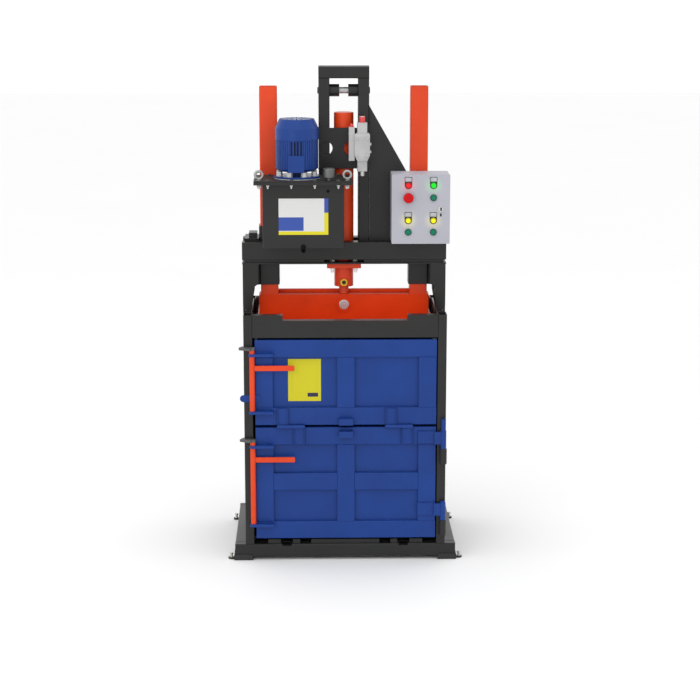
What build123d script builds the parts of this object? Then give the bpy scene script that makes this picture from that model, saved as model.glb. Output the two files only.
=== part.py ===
from build123d import *
import os
from math import cos, radians, sin

# Vertical recycling baler: a press chamber with a hinged door and a loading flap, a hydraulic
# press head above it, and an oil unit and a control cabinet carried on the head.
# X runs to the right, Y to the back and Z up. The front faces -Y and the floor is at Z = 0.
# All sizes are in millimetres.

# Chamber and frame
CHAMBER_WIDTH = 840.0
CHAMBER_DEPTH = 600.0
WALL_THICK = 8.0
COLUMN_PROUD = 8.0
COLUMN_WIDTH = 40.0
COLUMN_DEPTH = 80.0
COLUMN_WALL = 4.0
COLUMN_CORNER = 5.0
COLUMN_RISE = 24.0
RAIL_HEIGHT = 60.0
RAIL_HEIGHTS = (290.0, 640.0)
BACK_RIB_DEPTH = 10.0

# Base
BASE_MARGIN = 48.0
BEAM_HEIGHT = 60.0
END_BEAM_DEPTH = 40.0
BEAM_SLOT_WIDTH = 42.0
BEAM_SLOT_DEPTH = 9.0
BEAM_SLOT_PLACE = 264.0
PAD_HEIGHT = 15.0
PAD_LENGTH = 86.0
PAD_SKIRT = 4.0
PAD_LIP = 12.0
PAD_LIP_STEP = 1.0
PAD_TAPER = 10.0
ANCHOR_REACH = 18.0
ANCHOR_INSET = 27.0
ANCHOR_EAR_RADIUS = 14.0
ANCHOR_EAR_HEIGHT = 8.0
ANCHOR_RADIUS = 5.0
ANCHOR_STEM = 14.0
ANCHOR_NUT_HEIGHT = 7.0
ANCHOR_NUT_RADIUS = 9.0
BASE_SHEET = 4.0
FLOOR_PLATE = 6.0
FLOOR_RIB_HEIGHT = 19.0
FLOOR_RIBS = ((-321.0, 58.0), (-221.0, 32.0), (0.0, 310.0), (221.0, 32.0), (321.0, 58.0))
FLOOR_RIB_INSET = 10.0

# Door and flap
DOOR_THICK = 40.0
DOOR_TUBE = 80.0
DOOR_CORNER = 4.0
DOOR_SEAT_GAP = 2.0
DOOR_LATCH_GAP = 10.0
DOOR_HINGE_GAP = 4.0
DOOR_SILL_GAP = 27.0
DOOR_HEIGHT = 518.0
MID_RAIL_PLACE = 226.0
FLAP_GAP = 11.0
FLAP_HEIGHT = 389.0
PANEL_THICK = 6.0
PANEL_RECESS = 17.0
LINTEL_GAP = 10.0
LINTEL_HEIGHT = 77.0
LINTEL_END = 135.0
WALL_DROP = 4.0

# Door hinges
HINGE_AXIS_X = 440.0
HINGE_REACH = 17.0
HINGE_POST_RADIUS = 16.0
HINGE_EYE_RADIUS = 13.0
HINGE_CAP_RADIUS = 11.0
HINGE_PIN_RADIUS = 8.0
HINGE_PLAY = 0.5
HINGE_CHAMFER = 2.0
HINGE_LEAF_THICK = 6.0
HINGE_POST_HEIGHT = 72.0
HINGE_EYE_HEIGHT = 81.0
HINGE_CAP_HEIGHTS = (5.0, 54.0)
HINGE_PIN_LENGTH = 70.0
HINGE_PLACES = (44.0, 377.0)
STRAP_THICK = 8.0
STRAP_HEIGHT = 56.0
STRAP_RISE = 20.0
STRAP_LENGTH = 81.0
STRAP_NECK = 10.0
FIT = 0.1
WELD_LAP = 1.0
HEX_TURN = 30.0

# Flap hinges and stops
FLAP_AXIS_REACH = 10.0
FLAP_EYE_RADIUS = 9.0
FLAP_PIN_RADIUS = 5.0
FLAP_EYE_LENGTH = 61.0
FLAP_LEAF_WIDTH = 50.0
FLAP_LEAF_THICK = 6.0
FLAP_LEAF_HEIGHT = 76.0
FLAP_HINGE_PLACES = (-243.0, 241.0)
FLAP_HINGE_PLAY = 0.5
FLAP_PIN_END = 2.0
STOP_WIDTH = 63.0
STOP_SIZE = 29.0
STOP_DEPTH = 19.0
STOP_PLAY = 0.3

# Latches
LATCH_AXIS_X = -414.0
LATCH_REACH = 18.0
LATCH_ROD_RADIUS = 12.0
LATCH_END_RADIUS = 8.0
LUG_RADIUS = 16.0
LUG_THICK = 13.0
LUG_LENGTH = 81.0
LOWER_LUGS = (63.0, 429.0)
UPPER_LUGS = (57.0, 319.0)
LATCH_SEAT_GAP = 0.3
CAM_RISE = 15.0
CAM_THICK = 12.0
CAM_ANGLE = 155.0
CAM_LENGTH = 54.0
CAM_FRONT = 22.0
CAM_REAR = 13.0
CAM_SLOT_HEIGHT = 18.0
CAM_SLOT_DEPTH = 44.0
HANDLE_LENGTH = 188.0
HANDLE_HEIGHT = 23.0
HANDLE_THICK = 8.0
LOWER_HANDLE_RISE = 298.0
UPPER_HANDLE_RISE = 195.0
TAB_WIDTH = 32.0
TAB_RISE = 108.0
TAB_THICK = 4.0
TAB_REACH = 2.0
TAB_CLEARANCE = 1.0
TAB_WELD = 24.0

# Press head
POST_HEIGHT = 220.0
POST_PLATE = 8.0
POST_FOOT_IN = 12.0
POST_FOOT_OUT = 7.0
POST_HEEL_HEIGHT = 24.0
POST_NECK_HEIGHT = 72.0
POST_LAP = 40.0
POST_WING_DEPTH = 24.0
POST_WING_LAP = 8.0
POST_HEAD_IN = 22.0
POST_HEAD_HEIGHT = 91.0
POST_HEAD_SLOPE = 16.0
HEAD_PLATE = 6.0
HEAD_OVERHANG = 10.0
PACKER_HEIGHT = 13.0
PACKER_INSET = 10.0
PACKER_DEPTH = 30.0
PACKER_FREE = 90.0
HEAD_BEAM_HEIGHT = 80.0
HEAD_BEAM_DEPTH = 60.0
HEAD_BEAM_CORNER = 3.0
HEAD_GAP = 100.0
STAY_LENGTH = 65.0
STAY_DEPTH = 146.0
STAY_HEIGHT = 14.0
STAY_RECESS = 10.0
STAY_RECESS_SIDE = 4.0
STAY_RECESS_RIM = 2.5
STAY_RECESSES = (11.0, 38.0)
STAY_BLOCK_INSET = 9.0
STAY_BLOCK_WIDTH = 37.0
STAY_BLOCK_DEPTH = 80.0
STAY_BLOCK_HEIGHT = 21.0
STAY_GROOVE = 3.0

# Guides and platen
SLEEVE_SIDE_GAP = 4.0
GUIDE_TUBE = 80.0
GUIDE_TUBE_WALL = 5.0
GUIDE_CORNER = 8.0
CORNER_LEAST = 1.0
GUIDE_TUBE_LENGTH = 944.0
SLIDE_GAP = 0.5
SLEEVE_WALL = 5.5
SLEEVE_BELOW = 104.0
SLEEVE_ABOVE = 159.0
PLATEN_SIDE_GAP = 17.0
PLATEN_END_GAP = 8.0
PLATEN_THICK = 12.0
PLATEN_RIM = 38.0
PLATEN_RIM_THICK = 8.0
PLATEN_BEAM_HEIGHT = 125.0
PLATEN_BEAM_WALL = 8.0
PLATEN_BEAM_END = 7.0
PLATEN_LIP_HEIGHT = 14.0
PLATEN_LIP_THICK = 18.0

# Press cylinder
BARREL_RADIUS = 44.5
BARREL_BORE = 35.0
BARREL_LENGTH = 676.0
BARREL_CAP = 20.0
BARREL_PLAY = 0.5
FLANGE_SIZE = 155.0
FLANGE_CORNER = 8.0
FLANGE_THICK = 25.0
NECK_RADIUS = 43.5
NECK_LENGTH = 91.0
PORT_RADIUS = 17.0
PORT_BORE = 9.0
PORT_LENGTH = 6.0
PORT_RISE = 21.0
FLANGE_BOLT_PLACE = 53.0
BOLT_RADIUS = 7.0
BOLT_NUT_RADIUS = 12.0
BOLT_NUT_HEIGHT = 11.0
BOLT_HEAD_HEIGHT = 15.0
BOLT_TAIL = 7.0
ROD_RADIUS = 22.0
ROD_SHOW = 35.0
ROD_SOCKET = 1.0
ROD_TAIL = 30.0
PISTON_THICK = 44.0
PISTON_GAP = 0.3
PISTON_HEADROOM = 6.0
ROD_PIN_RADIUS = 15.0
ROD_PIN_DROP = 47.0
ROD_PIN_HEAD = 23.0
ROD_PIN_HEAD_THICK = 6.0
ROD_PIN_FILLET = 2.0
ROD_BOSS_RADIUS = 35.0
ROD_BOSS_THICK = 6.0

# Lifting yoke
YOKE_GAP = 128.0
YOKE_POST_WIDTH = 50.0
YOKE_HEADROOM = 153.0
YOKE_WALL = 5.0
YOKE_CORNER = 6.0
YOKE_BAR_HEIGHT = 54.0
YOKE_PIN_RADIUS = 15.0
YOKE_PIN_DROP = 55.0
YOKE_PIN_END = 5.0
YOKE_BUSH_RADIUS = 28.0
YOKE_BUSH_LENGTH = 44.0
YOKE_PLATE_THICK = 8.0
YOKE_PLATE_RISE = 328.0
YOKE_PLATE_HEIGHT = 183.0
YOKE_PLATE_HOLE = 30.5
YOKE_PLATE_HOLES = (-82.0, 29.0)
GUSSET_DROP = 120.0

# Directional valve on the yoke
VALVE_DEPTH = 60.0
VALVE_WIDTH = 68.0
VALVE_HEIGHT = 123.0
VALVE_RISE = 40.0
VALVE_CENTRE = 81.0
VALVE_SLOPE_WIDTH = 11.5
VALVE_SLOPE_HEIGHT = 24.0
VALVE_TOP_SLOPE = 6.0
VALVE_BLOCK_WIDTH = 26.0
VALVE_BLOCK_HEIGHT = 150.0
VALVE_BLOCK_DEPTH = 50.0
COIL_SIZE = 45.0
COIL_CORNER = 4.0
COIL_LENGTH = 47.0
COIL_CORE = 9.0
COIL_NUT_RADIUS = 13.0
COIL_NUT_LENGTH = 22.0
COIL_NUT_TOP = 28.0

# Oil unit
TANK_WIDTH = 359.0
TANK_DEPTH = 196.0
TANK_HEIGHT = 283.0
TANK_WALL = 3.0
TANK_CORNER = 6.0
TANK_CENTRE = -183.5
TANK_BACK_GAP = 34.0
TANK_RIM_SIDE = 38.0
TANK_RIM_THICK = 8.0
TANK_LID_THICK = 9.0
TANK_LID_CORNER = 6.0
TANK_BRACKET_THICK = 8.0
TANK_BRACKET_HEIGHT = 80.0
TANK_BRACKET_INSET = 24.0
LID_BOLT_END = 24.5
LID_BOLT_COUNT = 4
LID_BOLT_INSET = 17.0
LID_BOLT_RADIUS = 4.0
LID_BOLT_HEAD = 7.5
LID_BOLT_HEAD_HEIGHT = 6.0
LID_BOLT_TAIL = 10.0
LID_BOLT_NUT_HEIGHT = 7.0
EYE_OUTSET = 14.5
EYE_INSET = 3.0
EYE_RING_RADIUS = 16.5
EYE_WIRE_RADIUS = 6.0
EYE_COLLAR_RADIUS = 11.0
EYE_COLLAR_HEIGHT = 5.0
EYE_SHANK_RADIUS = 6.0
EYE_NUT_RADIUS = 11.0
EYE_NUT_HEIGHT = 11.0
BREATHER_INSET_X = 65.5
BREATHER_INSET_Y = 3.0
BREATHER_NECK_RADIUS = 11.0
BREATHER_NECK_HEIGHT = 11.0
BREATHER_RADIUS = 26.0
BREATHER_HEIGHT = 43.0
BREATHER_FILLET = 5.0
DRAIN_WIDTH = 21.0
DRAIN_HEIGHT = 35.0
DRAIN_BORE = 6.5
DRAIN_BORE_DROP = 7.0
DRAIN_BORE_DEPTH = 9.0
DRAIN_LENGTH = 12.0
DRAIN_DROP = 2.0

# Pump motor
MOTOR_SHIFT_X = -27.5
MOTOR_FLANGE_RADIUS = 103.0
MOTOR_FLANGE_THICK = 8.0
MOTOR_RING_RADIUS = 100.0
MOTOR_RING_THICK = 5.0
MOTOR_NECK_RADIUS = 25.0
MOTOR_NECK_HEIGHT = 21.0
MOTOR_CORE_RADIUS = 86.0
MOTOR_RADIUS = 95.0
MOTOR_LENGTH = 139.0
MOTOR_FOOT_RADIUS = 80.0
MOTOR_FOOT_HEIGHT = 12.0
MOTOR_GROOVES = 60
MOTOR_GROOVE_WIDTH = 3.0
MOTOR_GROOVE_DEPTH = 2.0
MOTOR_VENTS = (-22.0, -8.0, 5.0, 20.0)
MOTOR_VENT_WIDTH = 7.0
MOTOR_VENT_HEIGHT = 60.0
TERMINAL_SHIFT = -2.6
TERMINAL_WIDTH = 72.0
TERMINAL_HEIGHT = 74.0
TERMINAL_REACH = 98.0
TERMINAL_DEPTH = 40.0
TERMINAL_CORNER = 3.0
COVER_RADIUS = 96.5
COVER_TOP_RADIUS = 77.0
COVER_WALL = 2.0
COVER_LIP = 6.0
COVER_HEIGHT = 90.0
COVER_TAPER = 40.0
COVER_SLOTS = 16
COVER_SLOT_WIDTH = 6.0
COVER_SLOT_START = 24.0
COVER_SLOT_END = 68.0
SHAFT_RADIUS = 12.0
LID_HOLE_RADIUS = 24.0
FAN_RADIUS = 72.0
FAN_HUB_RADIUS = 22.0
FAN_HEIGHT = 34.0
FAN_BACK = 3.0
FAN_BLADES = 7
FAN_BLADE_THICK = 3.0
FAN_LIFT = 12.0
PUMP_BELL_RADIUS = 60.0
PUMP_BELL_HEIGHT = 70.0
PUMP_SIZE = 96.0
PUMP_HEIGHT = 92.0
PUMP_CORNER = 10.0
PUMP_SHAFT_DEPTH = 62.0
PUMP_BORE_END = 1.0
SUCTION_RADIUS = 13.0
STRAINER_RADIUS = 34.0
STRAINER_HEIGHT = 60.0
STRAINER_CLEARANCE = 16.0

# Control cabinet
CABINET_WIDTH = 260.0
CABINET_HEIGHT = 310.0
CABINET_DEPTH = 150.0
CABINET_WALL = 2.5
CABINET_CORNER = 5.0
CABINET_LIFT = 6.0
CABINET_DOOR_DEPTH = 17.0
CABINET_DOOR_GAP = 0.5
GEAR_PLATE_THICK = 2.0
GEAR_PLATE_INSET = 22.0
GEAR_RAIL_HEIGHT = 35.0
GEAR_RAIL_THICK = 7.0
GEAR_BLOCK_DEPTH = 62.0
GEAR_BLOCK_HEIGHT = 78.0
GEAR_BLOCK_WIDTH = 45.0
GEAR_BLOCK_STEP = 18.0
GEAR_ROWS = (0.3, 0.72)
CONTROL_SPREAD = 56.0
LAMP_RADIUS = 11.0
LAMP_BEZEL_RADIUS = 15.0
LAMP_BEZEL_THICK = 4.0
LAMP_LENS_HEIGHT = 6.0
LAMP_LENS_RADIUS = 12.0
LAMP_BODY_DEPTH = 30.0
LAMP_ROWS = (262.0, 105.0)
BUTTON_RADIUS = 11.0
BUTTON_STEM_RADIUS = 7.0
BUTTON_BEZEL_HEIGHT = 6.0
BUTTON_SEAT = 1.0
BUTTON_CAP_THICK = 5.0
BUTTON_CHAMFER = 1.0
BUTTON_TRAVEL = 3.0
BUTTON_PLAY = 0.3
BUTTON_NECK_DEPTH = 20.0
BUTTON_STEM_DEPTH = 24.0
BUTTON_ROWS = (207.0, 53.0)
STOP_CAP_RADIUS = 22.5
STOP_CAP_HEIGHT = 16.0
STOP_CAP_FILLET = 7.0
STOP_TRAVEL = 4.0
LOCK_SHIFT_X = 89.0
LOCK_RISE = 156.0
LOCK_RADIUS = 9.0
LOCK_FLANGE_RADIUS = 12.0
LOCK_FLANGE_THICK = 3.0
LOCK_BODY_DEPTH = 20.0
LOCK_TONGUE_LENGTH = 26.0
LOCK_TONGUE_WIDTH = 12.0
LOCK_TONGUE_THICK = 3.0

# Places worked out from the sizes above
WALL_IN = CHAMBER_WIDTH / 2
WALL_OUT = WALL_IN + WALL_THICK
COLUMN_IN = WALL_IN - COLUMN_PROUD
COLUMN_OUT = COLUMN_IN + COLUMN_WIDTH
BASE_HALF = COLUMN_OUT + BASE_MARGIN
BASE_DEPTH = DOOR_THICK + DOOR_SEAT_GAP + CHAMBER_DEPTH + WALL_THICK + BACK_RIB_DEPTH
FRONT_REACH = LATCH_REACH - CAM_FRONT * cos(radians(CAM_ANGLE))
FRONT = (FRONT_REACH - PAD_SKIRT - BASE_DEPTH) / 2
REAR = FRONT + BASE_DEPTH
CHAMBER_FRONT = FRONT + DOOR_THICK + DOOR_SEAT_GAP
CHAMBER_BACK = CHAMBER_FRONT + CHAMBER_DEPTH
PRESS_Y = (CHAMBER_FRONT + CHAMBER_BACK) / 2

BASE_TOP = PAD_HEIGHT + BEAM_HEIGHT
DOOR_LEFT = -COLUMN_IN + DOOR_LATCH_GAP
DOOR_RIGHT = COLUMN_IN - DOOR_HINGE_GAP
DOOR_MIDDLE = (DOOR_LEFT + DOOR_RIGHT) / 2
DOOR_BOTTOM = BASE_TOP + DOOR_SILL_GAP
DOOR_TOP = DOOR_BOTTOM + DOOR_HEIGHT
FLAP_BOTTOM = DOOR_TOP + FLAP_GAP
FLAP_TOP = FLAP_BOTTOM + FLAP_HEIGHT
FLAP_AXIS_Z = DOOR_TOP + FLAP_GAP / 2
LINTEL_BOTTOM = FLAP_TOP + LINTEL_GAP
LINTEL_TOP = LINTEL_BOTTOM + LINTEL_HEIGHT
COLUMN_TOP = LINTEL_TOP + COLUMN_RISE
WALL_TOP = LINTEL_TOP - WALL_DROP

POST_TOP = WALL_TOP + POST_HEIGHT
HEAD_PLATE_TOP = POST_TOP + HEAD_PLATE
HEAD_BEAM_BOTTOM = HEAD_PLATE_TOP + PACKER_HEIGHT
HEAD_TOP = HEAD_BEAM_BOTTOM + HEAD_BEAM_HEIGHT
HEAD_HALF = COLUMN_OUT + HEAD_OVERHANG
HEAD_GAP_FRONT = PRESS_Y - HEAD_GAP / 2
HEAD_GAP_BACK = PRESS_Y + HEAD_GAP / 2
HEAD_FRONT = HEAD_GAP_FRONT - HEAD_BEAM_DEPTH
HEAD_BACK = HEAD_GAP_BACK + HEAD_BEAM_DEPTH
SLEEVE_BORE = GUIDE_TUBE + 2 * SLIDE_GAP
SLEEVE_SIZE = SLEEVE_BORE + 2 * SLEEVE_WALL
GUIDE_SPREAD = COLUMN_IN - POST_HEAD_IN - SLEEVE_SIDE_GAP - SLEEVE_SIZE / 2
BARREL_TOP = POST_TOP + BARREL_LENGTH
YOKE_TOP = BARREL_TOP + YOKE_HEADROOM
YOKE_POST_IN = YOKE_GAP / 2
YOKE_POST_OUT = YOKE_POST_IN + YOKE_POST_WIDTH
YOKE_PIN_Z = YOKE_TOP - YOKE_PIN_DROP
YOKE_PLATE_BOTTOM = HEAD_TOP + YOKE_PLATE_RISE
YOKE_PLATE_FRONT = HEAD_GAP_FRONT - YOKE_PLATE_THICK

NECK_BOTTOM = POST_TOP - FLANGE_THICK - NECK_LENGTH
PLATEN_BEAM_TOP = NECK_BOTTOM - ROD_SHOW
PLATEN_BEAM_BOTTOM = PLATEN_BEAM_TOP - PLATEN_BEAM_HEIGHT
PLATEN_BOTTOM = PLATEN_BEAM_BOTTOM - PLATEN_THICK
PLATEN_HALF = COLUMN_IN - PLATEN_SIDE_GAP
PLATEN_FRONT = CHAMBER_FRONT + PLATEN_END_GAP
PLATEN_BACK = CHAMBER_BACK - PLATEN_END_GAP
GUIDE_FRONT = PRESS_Y - GUIDE_TUBE / 2
GUIDE_BACK = PRESS_Y + GUIDE_TUBE / 2
ROD_PIN_Z = PLATEN_BEAM_TOP - ROD_PIN_DROP

TANK_BACK = HEAD_GAP_FRONT - TANK_BACK_GAP
TANK_FRONT = TANK_BACK - TANK_DEPTH
TANK_LEFT = TANK_CENTRE - TANK_WIDTH / 2
TANK_RIGHT = TANK_CENTRE + TANK_WIDTH / 2
TANK_TOP = HEAD_TOP + TANK_HEIGHT
TANK_RIM_FRONT = TANK_FRONT - TANK_BACK_GAP
LID_BOTTOM = TANK_TOP + TANK_RIM_THICK
LID_TOP = LID_BOTTOM + TANK_LID_THICK
MOTOR_X = TANK_CENTRE + MOTOR_SHIFT_X
MOTOR_Y = (TANK_FRONT + TANK_BACK) / 2
MOTOR_BODY_BOTTOM = LID_TOP + MOTOR_RING_THICK + MOTOR_FLANGE_THICK + MOTOR_NECK_HEIGHT
MOTOR_BODY_TOP = MOTOR_BODY_BOTTOM + MOTOR_LENGTH

CABINET_BACK = HEAD_GAP_FRONT
CABINET_FRONT = CABINET_BACK - CABINET_DEPTH
CABINET_MOUTH = CABINET_FRONT + CABINET_DOOR_DEPTH + CABINET_DOOR_GAP
CABINET_BOTTOM = HEAD_TOP + CABINET_LIFT
CABINET_TOP = CABINET_BOTTOM + CABINET_HEIGHT
CABINET_LEFT = GUIDE_SPREAD - CABINET_WIDTH / 2
CABINET_RIGHT = GUIDE_SPREAD + CABINET_WIDTH / 2
CABINET_DOOR_IN = CABINET_FRONT + CABINET_WALL


def section(width, height, corner):
    """Draws a rectangle, with round corners where a corner radius is given."""
    if corner > 0:
        RectangleRounded(width, height, corner)
    else:
        Rectangle(width, height)


def bar_up(x, y, z, corner=0.0, mode=Mode.ADD):
    """Makes an upright bar from its (low, high) spans, with its long edges rounded."""
    with BuildSketch(Plane.XY.offset(z[0])) as outline:
        with Locations(((x[0] + x[1]) / 2, (y[0] + y[1]) / 2)):
            section(x[1] - x[0], y[1] - y[0], corner)
    extrude(outline.sketch, amount=z[1] - z[0], mode=mode)


def bar_across(x, y, z, corner=0.0, mode=Mode.ADD):
    """Makes a bar that runs along X from its (low, high) spans."""
    with BuildSketch(Plane.YZ.offset(x[0])) as outline:
        with Locations(((y[0] + y[1]) / 2, (z[0] + z[1]) / 2)):
            section(y[1] - y[0], z[1] - z[0], corner)
    extrude(outline.sketch, amount=x[1] - x[0], mode=mode)


def bar_back(x, y, z, corner=0.0, mode=Mode.ADD):
    """Makes a bar that runs along Y from its (low, high) spans."""
    with BuildSketch(Plane.XZ.offset(-y[1])) as outline:
        with Locations(((x[0] + x[1]) / 2, (z[0] + z[1]) / 2)):
            section(x[1] - x[0], z[1] - z[0], corner)
    extrude(outline.sketch, amount=y[1] - y[0], mode=mode)


def round_up(place, z, radius, mode=Mode.ADD):
    """Makes an upright round at (x, y) over the (low, high) span z."""
    with BuildSketch(Plane.XY.offset(z[0])) as outline:
        with Locations(place):
            Circle(radius)
    extrude(outline.sketch, amount=z[1] - z[0], mode=mode)


def round_across(place, x, radius, mode=Mode.ADD):
    """Makes a round along X at (y, z) over the (low, high) span x."""
    with BuildSketch(Plane.YZ.offset(x[0])) as outline:
        with Locations(place):
            Circle(radius)
    extrude(outline.sketch, amount=x[1] - x[0], mode=mode)


def round_back(place, y, radius, mode=Mode.ADD):
    """Makes a round along Y at (x, z) over the (low, high) span y."""
    with BuildSketch(Plane.XZ.offset(-y[1])) as outline:
        with Locations(place):
            Circle(radius)
    extrude(outline.sketch, amount=y[1] - y[0], mode=mode)


def hex_up(place, z, radius, mode=Mode.ADD):
    """Makes an upright hexagon, such as a nut, with two flats facing left and right."""
    with BuildSketch(Plane.XY.offset(z[0])) as outline:
        with Locations(place):
            RegularPolygon(radius, 6, rotation=HEX_TURN)
    extrude(outline.sketch, amount=z[1] - z[0], mode=mode)


def mirrored(span):
    """Gives a span of X on the other side of the middle plane."""
    return -span[1], -span[0]


def both_sides(span):
    """Gives a span of X and its mirror image."""
    return span, mirrored(span)


def save(piece, node):
    """Labels a finished piece and writes it as one file."""
    piece.part.label = node
    export_step(piece.part, f"parts/{node}.step")


def save_welded(pieces, node):
    """Writes pieces that are welded to each other as the separate solids of one node."""
    group = Compound([solid for piece in pieces for solid in piece.part.solids()])
    group.label = node
    export_step(group, f"parts/{node}.step")


# Base

def build_base():
    """The welded base: two end beams, two side beams, a sheet between them and the floor's ribs."""
    beam_z = (PAD_HEIGHT, BASE_TOP)
    with BuildPart() as end_beams:
        bar_across((-BASE_HALF, BASE_HALF), (FRONT, FRONT + END_BEAM_DEPTH), beam_z, COLUMN_CORNER)
        for place in (-BEAM_SLOT_PLACE, BEAM_SLOT_PLACE):
            slot_x = (place - BEAM_SLOT_WIDTH / 2, place + BEAM_SLOT_WIDTH / 2)
            slot_y = (FRONT, FRONT + END_BEAM_DEPTH)
            bar_up(slot_x, slot_y, (BASE_TOP - BEAM_SLOT_DEPTH, BASE_TOP), mode=Mode.SUBTRACT)
        bar_across((-BASE_HALF, BASE_HALF), (REAR - END_BEAM_DEPTH, REAR), beam_z, COLUMN_CORNER)

    with BuildPart() as side_beams:
        for span in both_sides((COLUMN_IN, BASE_HALF)):
            bar_back(span, (FRONT + END_BEAM_DEPTH, REAR - END_BEAM_DEPTH), beam_z, COLUMN_CORNER)

    with BuildPart() as base_sheet:
        sheet_y = (FRONT + END_BEAM_DEPTH, REAR - END_BEAM_DEPTH)
        bar_up((-COLUMN_IN, COLUMN_IN), sheet_y, (BASE_TOP - BASE_SHEET, BASE_TOP))

    with BuildPart() as floor_ribs:
        rib_y = (FRONT + FLOOR_RIB_INSET, CHAMBER_BACK)
        for centre, width in FLOOR_RIBS:
            rib_x = (centre - width / 2, centre + width / 2)
            bar_back(rib_x, rib_y, (BASE_TOP, BASE_TOP + FLOOR_RIB_HEIGHT))
    save_welded((end_beams, side_beams, base_sheet, floor_ribs), "base_frame")


def build_pads():
    """Rubber shoes under the four corners of the base, each with an ear for its anchor."""
    inner = BASE_HALF + PAD_SKIRT - PAD_LENGTH
    front_edge = FRONT - PAD_SKIRT
    anchor = (BASE_HALF + ANCHOR_REACH, FRONT + ANCHOR_INSET)
    with BuildPart() as foot_pads:
        outer_x = (inner, BASE_HALF + PAD_SKIRT)
        bar_up(outer_x, (front_edge, front_edge + PAD_LENGTH), (0, PAD_HEIGHT + PAD_LIP))
        seat_x = (inner, BASE_HALF)
        seat_y = (FRONT, front_edge + PAD_LENGTH)
        bar_up(seat_x, seat_y, (PAD_HEIGHT, PAD_HEIGHT + PAD_LIP), mode=Mode.SUBTRACT)
        lip_end = foot_pads.edges().filter_by(Axis.Y).group_by(Axis.X)[0].sort_by(Axis.Z)[-1]
        chamfer(lip_end, length=PAD_LIP - PAD_LIP_STEP, length2=PAD_TAPER)
        round_up(anchor, (0, ANCHOR_EAR_HEIGHT), ANCHOR_EAR_RADIUS)
        ear_y = (anchor[1] - ANCHOR_EAR_RADIUS, anchor[1] + ANCHOR_EAR_RADIUS)
        bar_up((BASE_HALF, anchor[0]), ear_y, (0, ANCHOR_EAR_HEIGHT))
        round_up(anchor, (0, ANCHOR_EAR_HEIGHT), ANCHOR_RADIUS + FIT, mode=Mode.SUBTRACT)
        mirror(about=Plane.XZ.offset(-(FRONT + REAR) / 2))
        mirror(about=Plane.YZ)
    save(foot_pads, "foot_pads")

    stem_top = ANCHOR_EAR_HEIGHT + ANCHOR_STEM
    with BuildPart() as anchor_bolts:
        round_up(anchor, (0, stem_top), ANCHOR_RADIUS)
        hex_up(anchor, (stem_top, stem_top + ANCHOR_NUT_HEIGHT), ANCHOR_NUT_RADIUS)
        mirror(about=Plane.XZ.offset(-(FRONT + REAR) / 2))
        mirror(about=Plane.YZ)
    save(anchor_bolts, "anchor_bolts")


# Chamber

def build_chamber():
    """Floor, side walls, back wall, and the rails that stiffen the walls."""
    side_y = (FRONT + COLUMN_DEPTH, REAR - COLUMN_DEPTH)
    floor_z = (BASE_TOP + FLOOR_RIB_HEIGHT, BASE_TOP + FLOOR_RIB_HEIGHT + FLOOR_PLATE)
    with BuildPart() as floor_plate:
        bar_up((-COLUMN_IN, COLUMN_IN), (CHAMBER_FRONT, CHAMBER_BACK), floor_z)
        bar_up((-WALL_IN, WALL_IN), side_y, floor_z)
    save(floor_plate, "floor_plate")

    with BuildPart() as side_walls:
        for span in both_sides((WALL_IN, WALL_OUT)):
            bar_up(span, side_y, (BASE_TOP, WALL_TOP))
    with BuildPart() as back_wall:
        back_wall_y = (CHAMBER_BACK, CHAMBER_BACK + WALL_THICK)
        bar_up((-COLUMN_IN, COLUMN_IN), back_wall_y, (floor_z[0], WALL_TOP))
    save_welded((side_walls, back_wall), "chamber_walls")

    back_y = (CHAMBER_BACK + WALL_THICK, REAR)
    with BuildPart() as wall_rails:
        for low in (*RAIL_HEIGHTS, WALL_TOP - RAIL_HEIGHT):
            rail_z = (low, low + RAIL_HEIGHT)
            for span in both_sides((WALL_OUT, COLUMN_OUT)):
                bar_back(span, side_y, rail_z, COLUMN_CORNER)
            bar_across((-COLUMN_IN, COLUMN_IN), back_y, rail_z)
    save(wall_rails, "wall_rails")


def build_columns():
    """Four hollow columns; the left front one is slotted for the two latch cams."""
    front_y = (FRONT, FRONT + COLUMN_DEPTH)
    rear_y = (REAR - COLUMN_DEPTH, REAR)
    with BuildPart() as columns:
        for span_y, top in ((front_y, COLUMN_TOP), (rear_y, WALL_TOP)):
            for span in both_sides((COLUMN_IN, COLUMN_OUT)):
                bar_up(span, span_y, (BASE_TOP, top), COLUMN_CORNER)
                bore_x = (span[0] + COLUMN_WALL, span[1] - COLUMN_WALL)
                bore_y = (span_y[0] + COLUMN_WALL, span_y[1] - COLUMN_WALL)
                bore_corner = max(COLUMN_CORNER - COLUMN_WALL, 0)
                bar_up(bore_x, bore_y, (BASE_TOP, top), bore_corner, mode=Mode.SUBTRACT)
        for middle in (lower_cam_z(), upper_cam_z()):
            slot_z = (middle - CAM_SLOT_HEIGHT / 2, middle + CAM_SLOT_HEIGHT / 2)
            slot_y = (FRONT, FRONT + CAM_SLOT_DEPTH)
            bar_up((-COLUMN_OUT, -COLUMN_IN), slot_y, slot_z, mode=Mode.SUBTRACT)
    save(columns, "columns")

    lintel_y = (FRONT, FRONT + DOOR_THICK)
    with BuildPart() as lintel_bar:
        bar_across((-COLUMN_IN, COLUMN_IN), lintel_y, (LINTEL_BOTTOM, LINTEL_TOP))
    with BuildPart() as lintel_ends:
        for span in both_sides((COLUMN_IN - LINTEL_END, COLUMN_IN)):
            bar_across(span, lintel_y, (LINTEL_TOP, COLUMN_TOP))
    save_welded((lintel_bar, lintel_ends), "lintel")


# Door and flap

def lower_cam_z():
    """Height of the middle of the lower latch's cam."""
    return DOOR_BOTTOM + LOWER_LUGS[1] + LUG_THICK + CAM_RISE + CAM_THICK / 2


def upper_cam_z():
    """Height of the middle of the upper latch's cam."""
    return FLAP_BOTTOM + UPPER_LUGS[1] + LUG_THICK + CAM_RISE + CAM_THICK / 2


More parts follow.
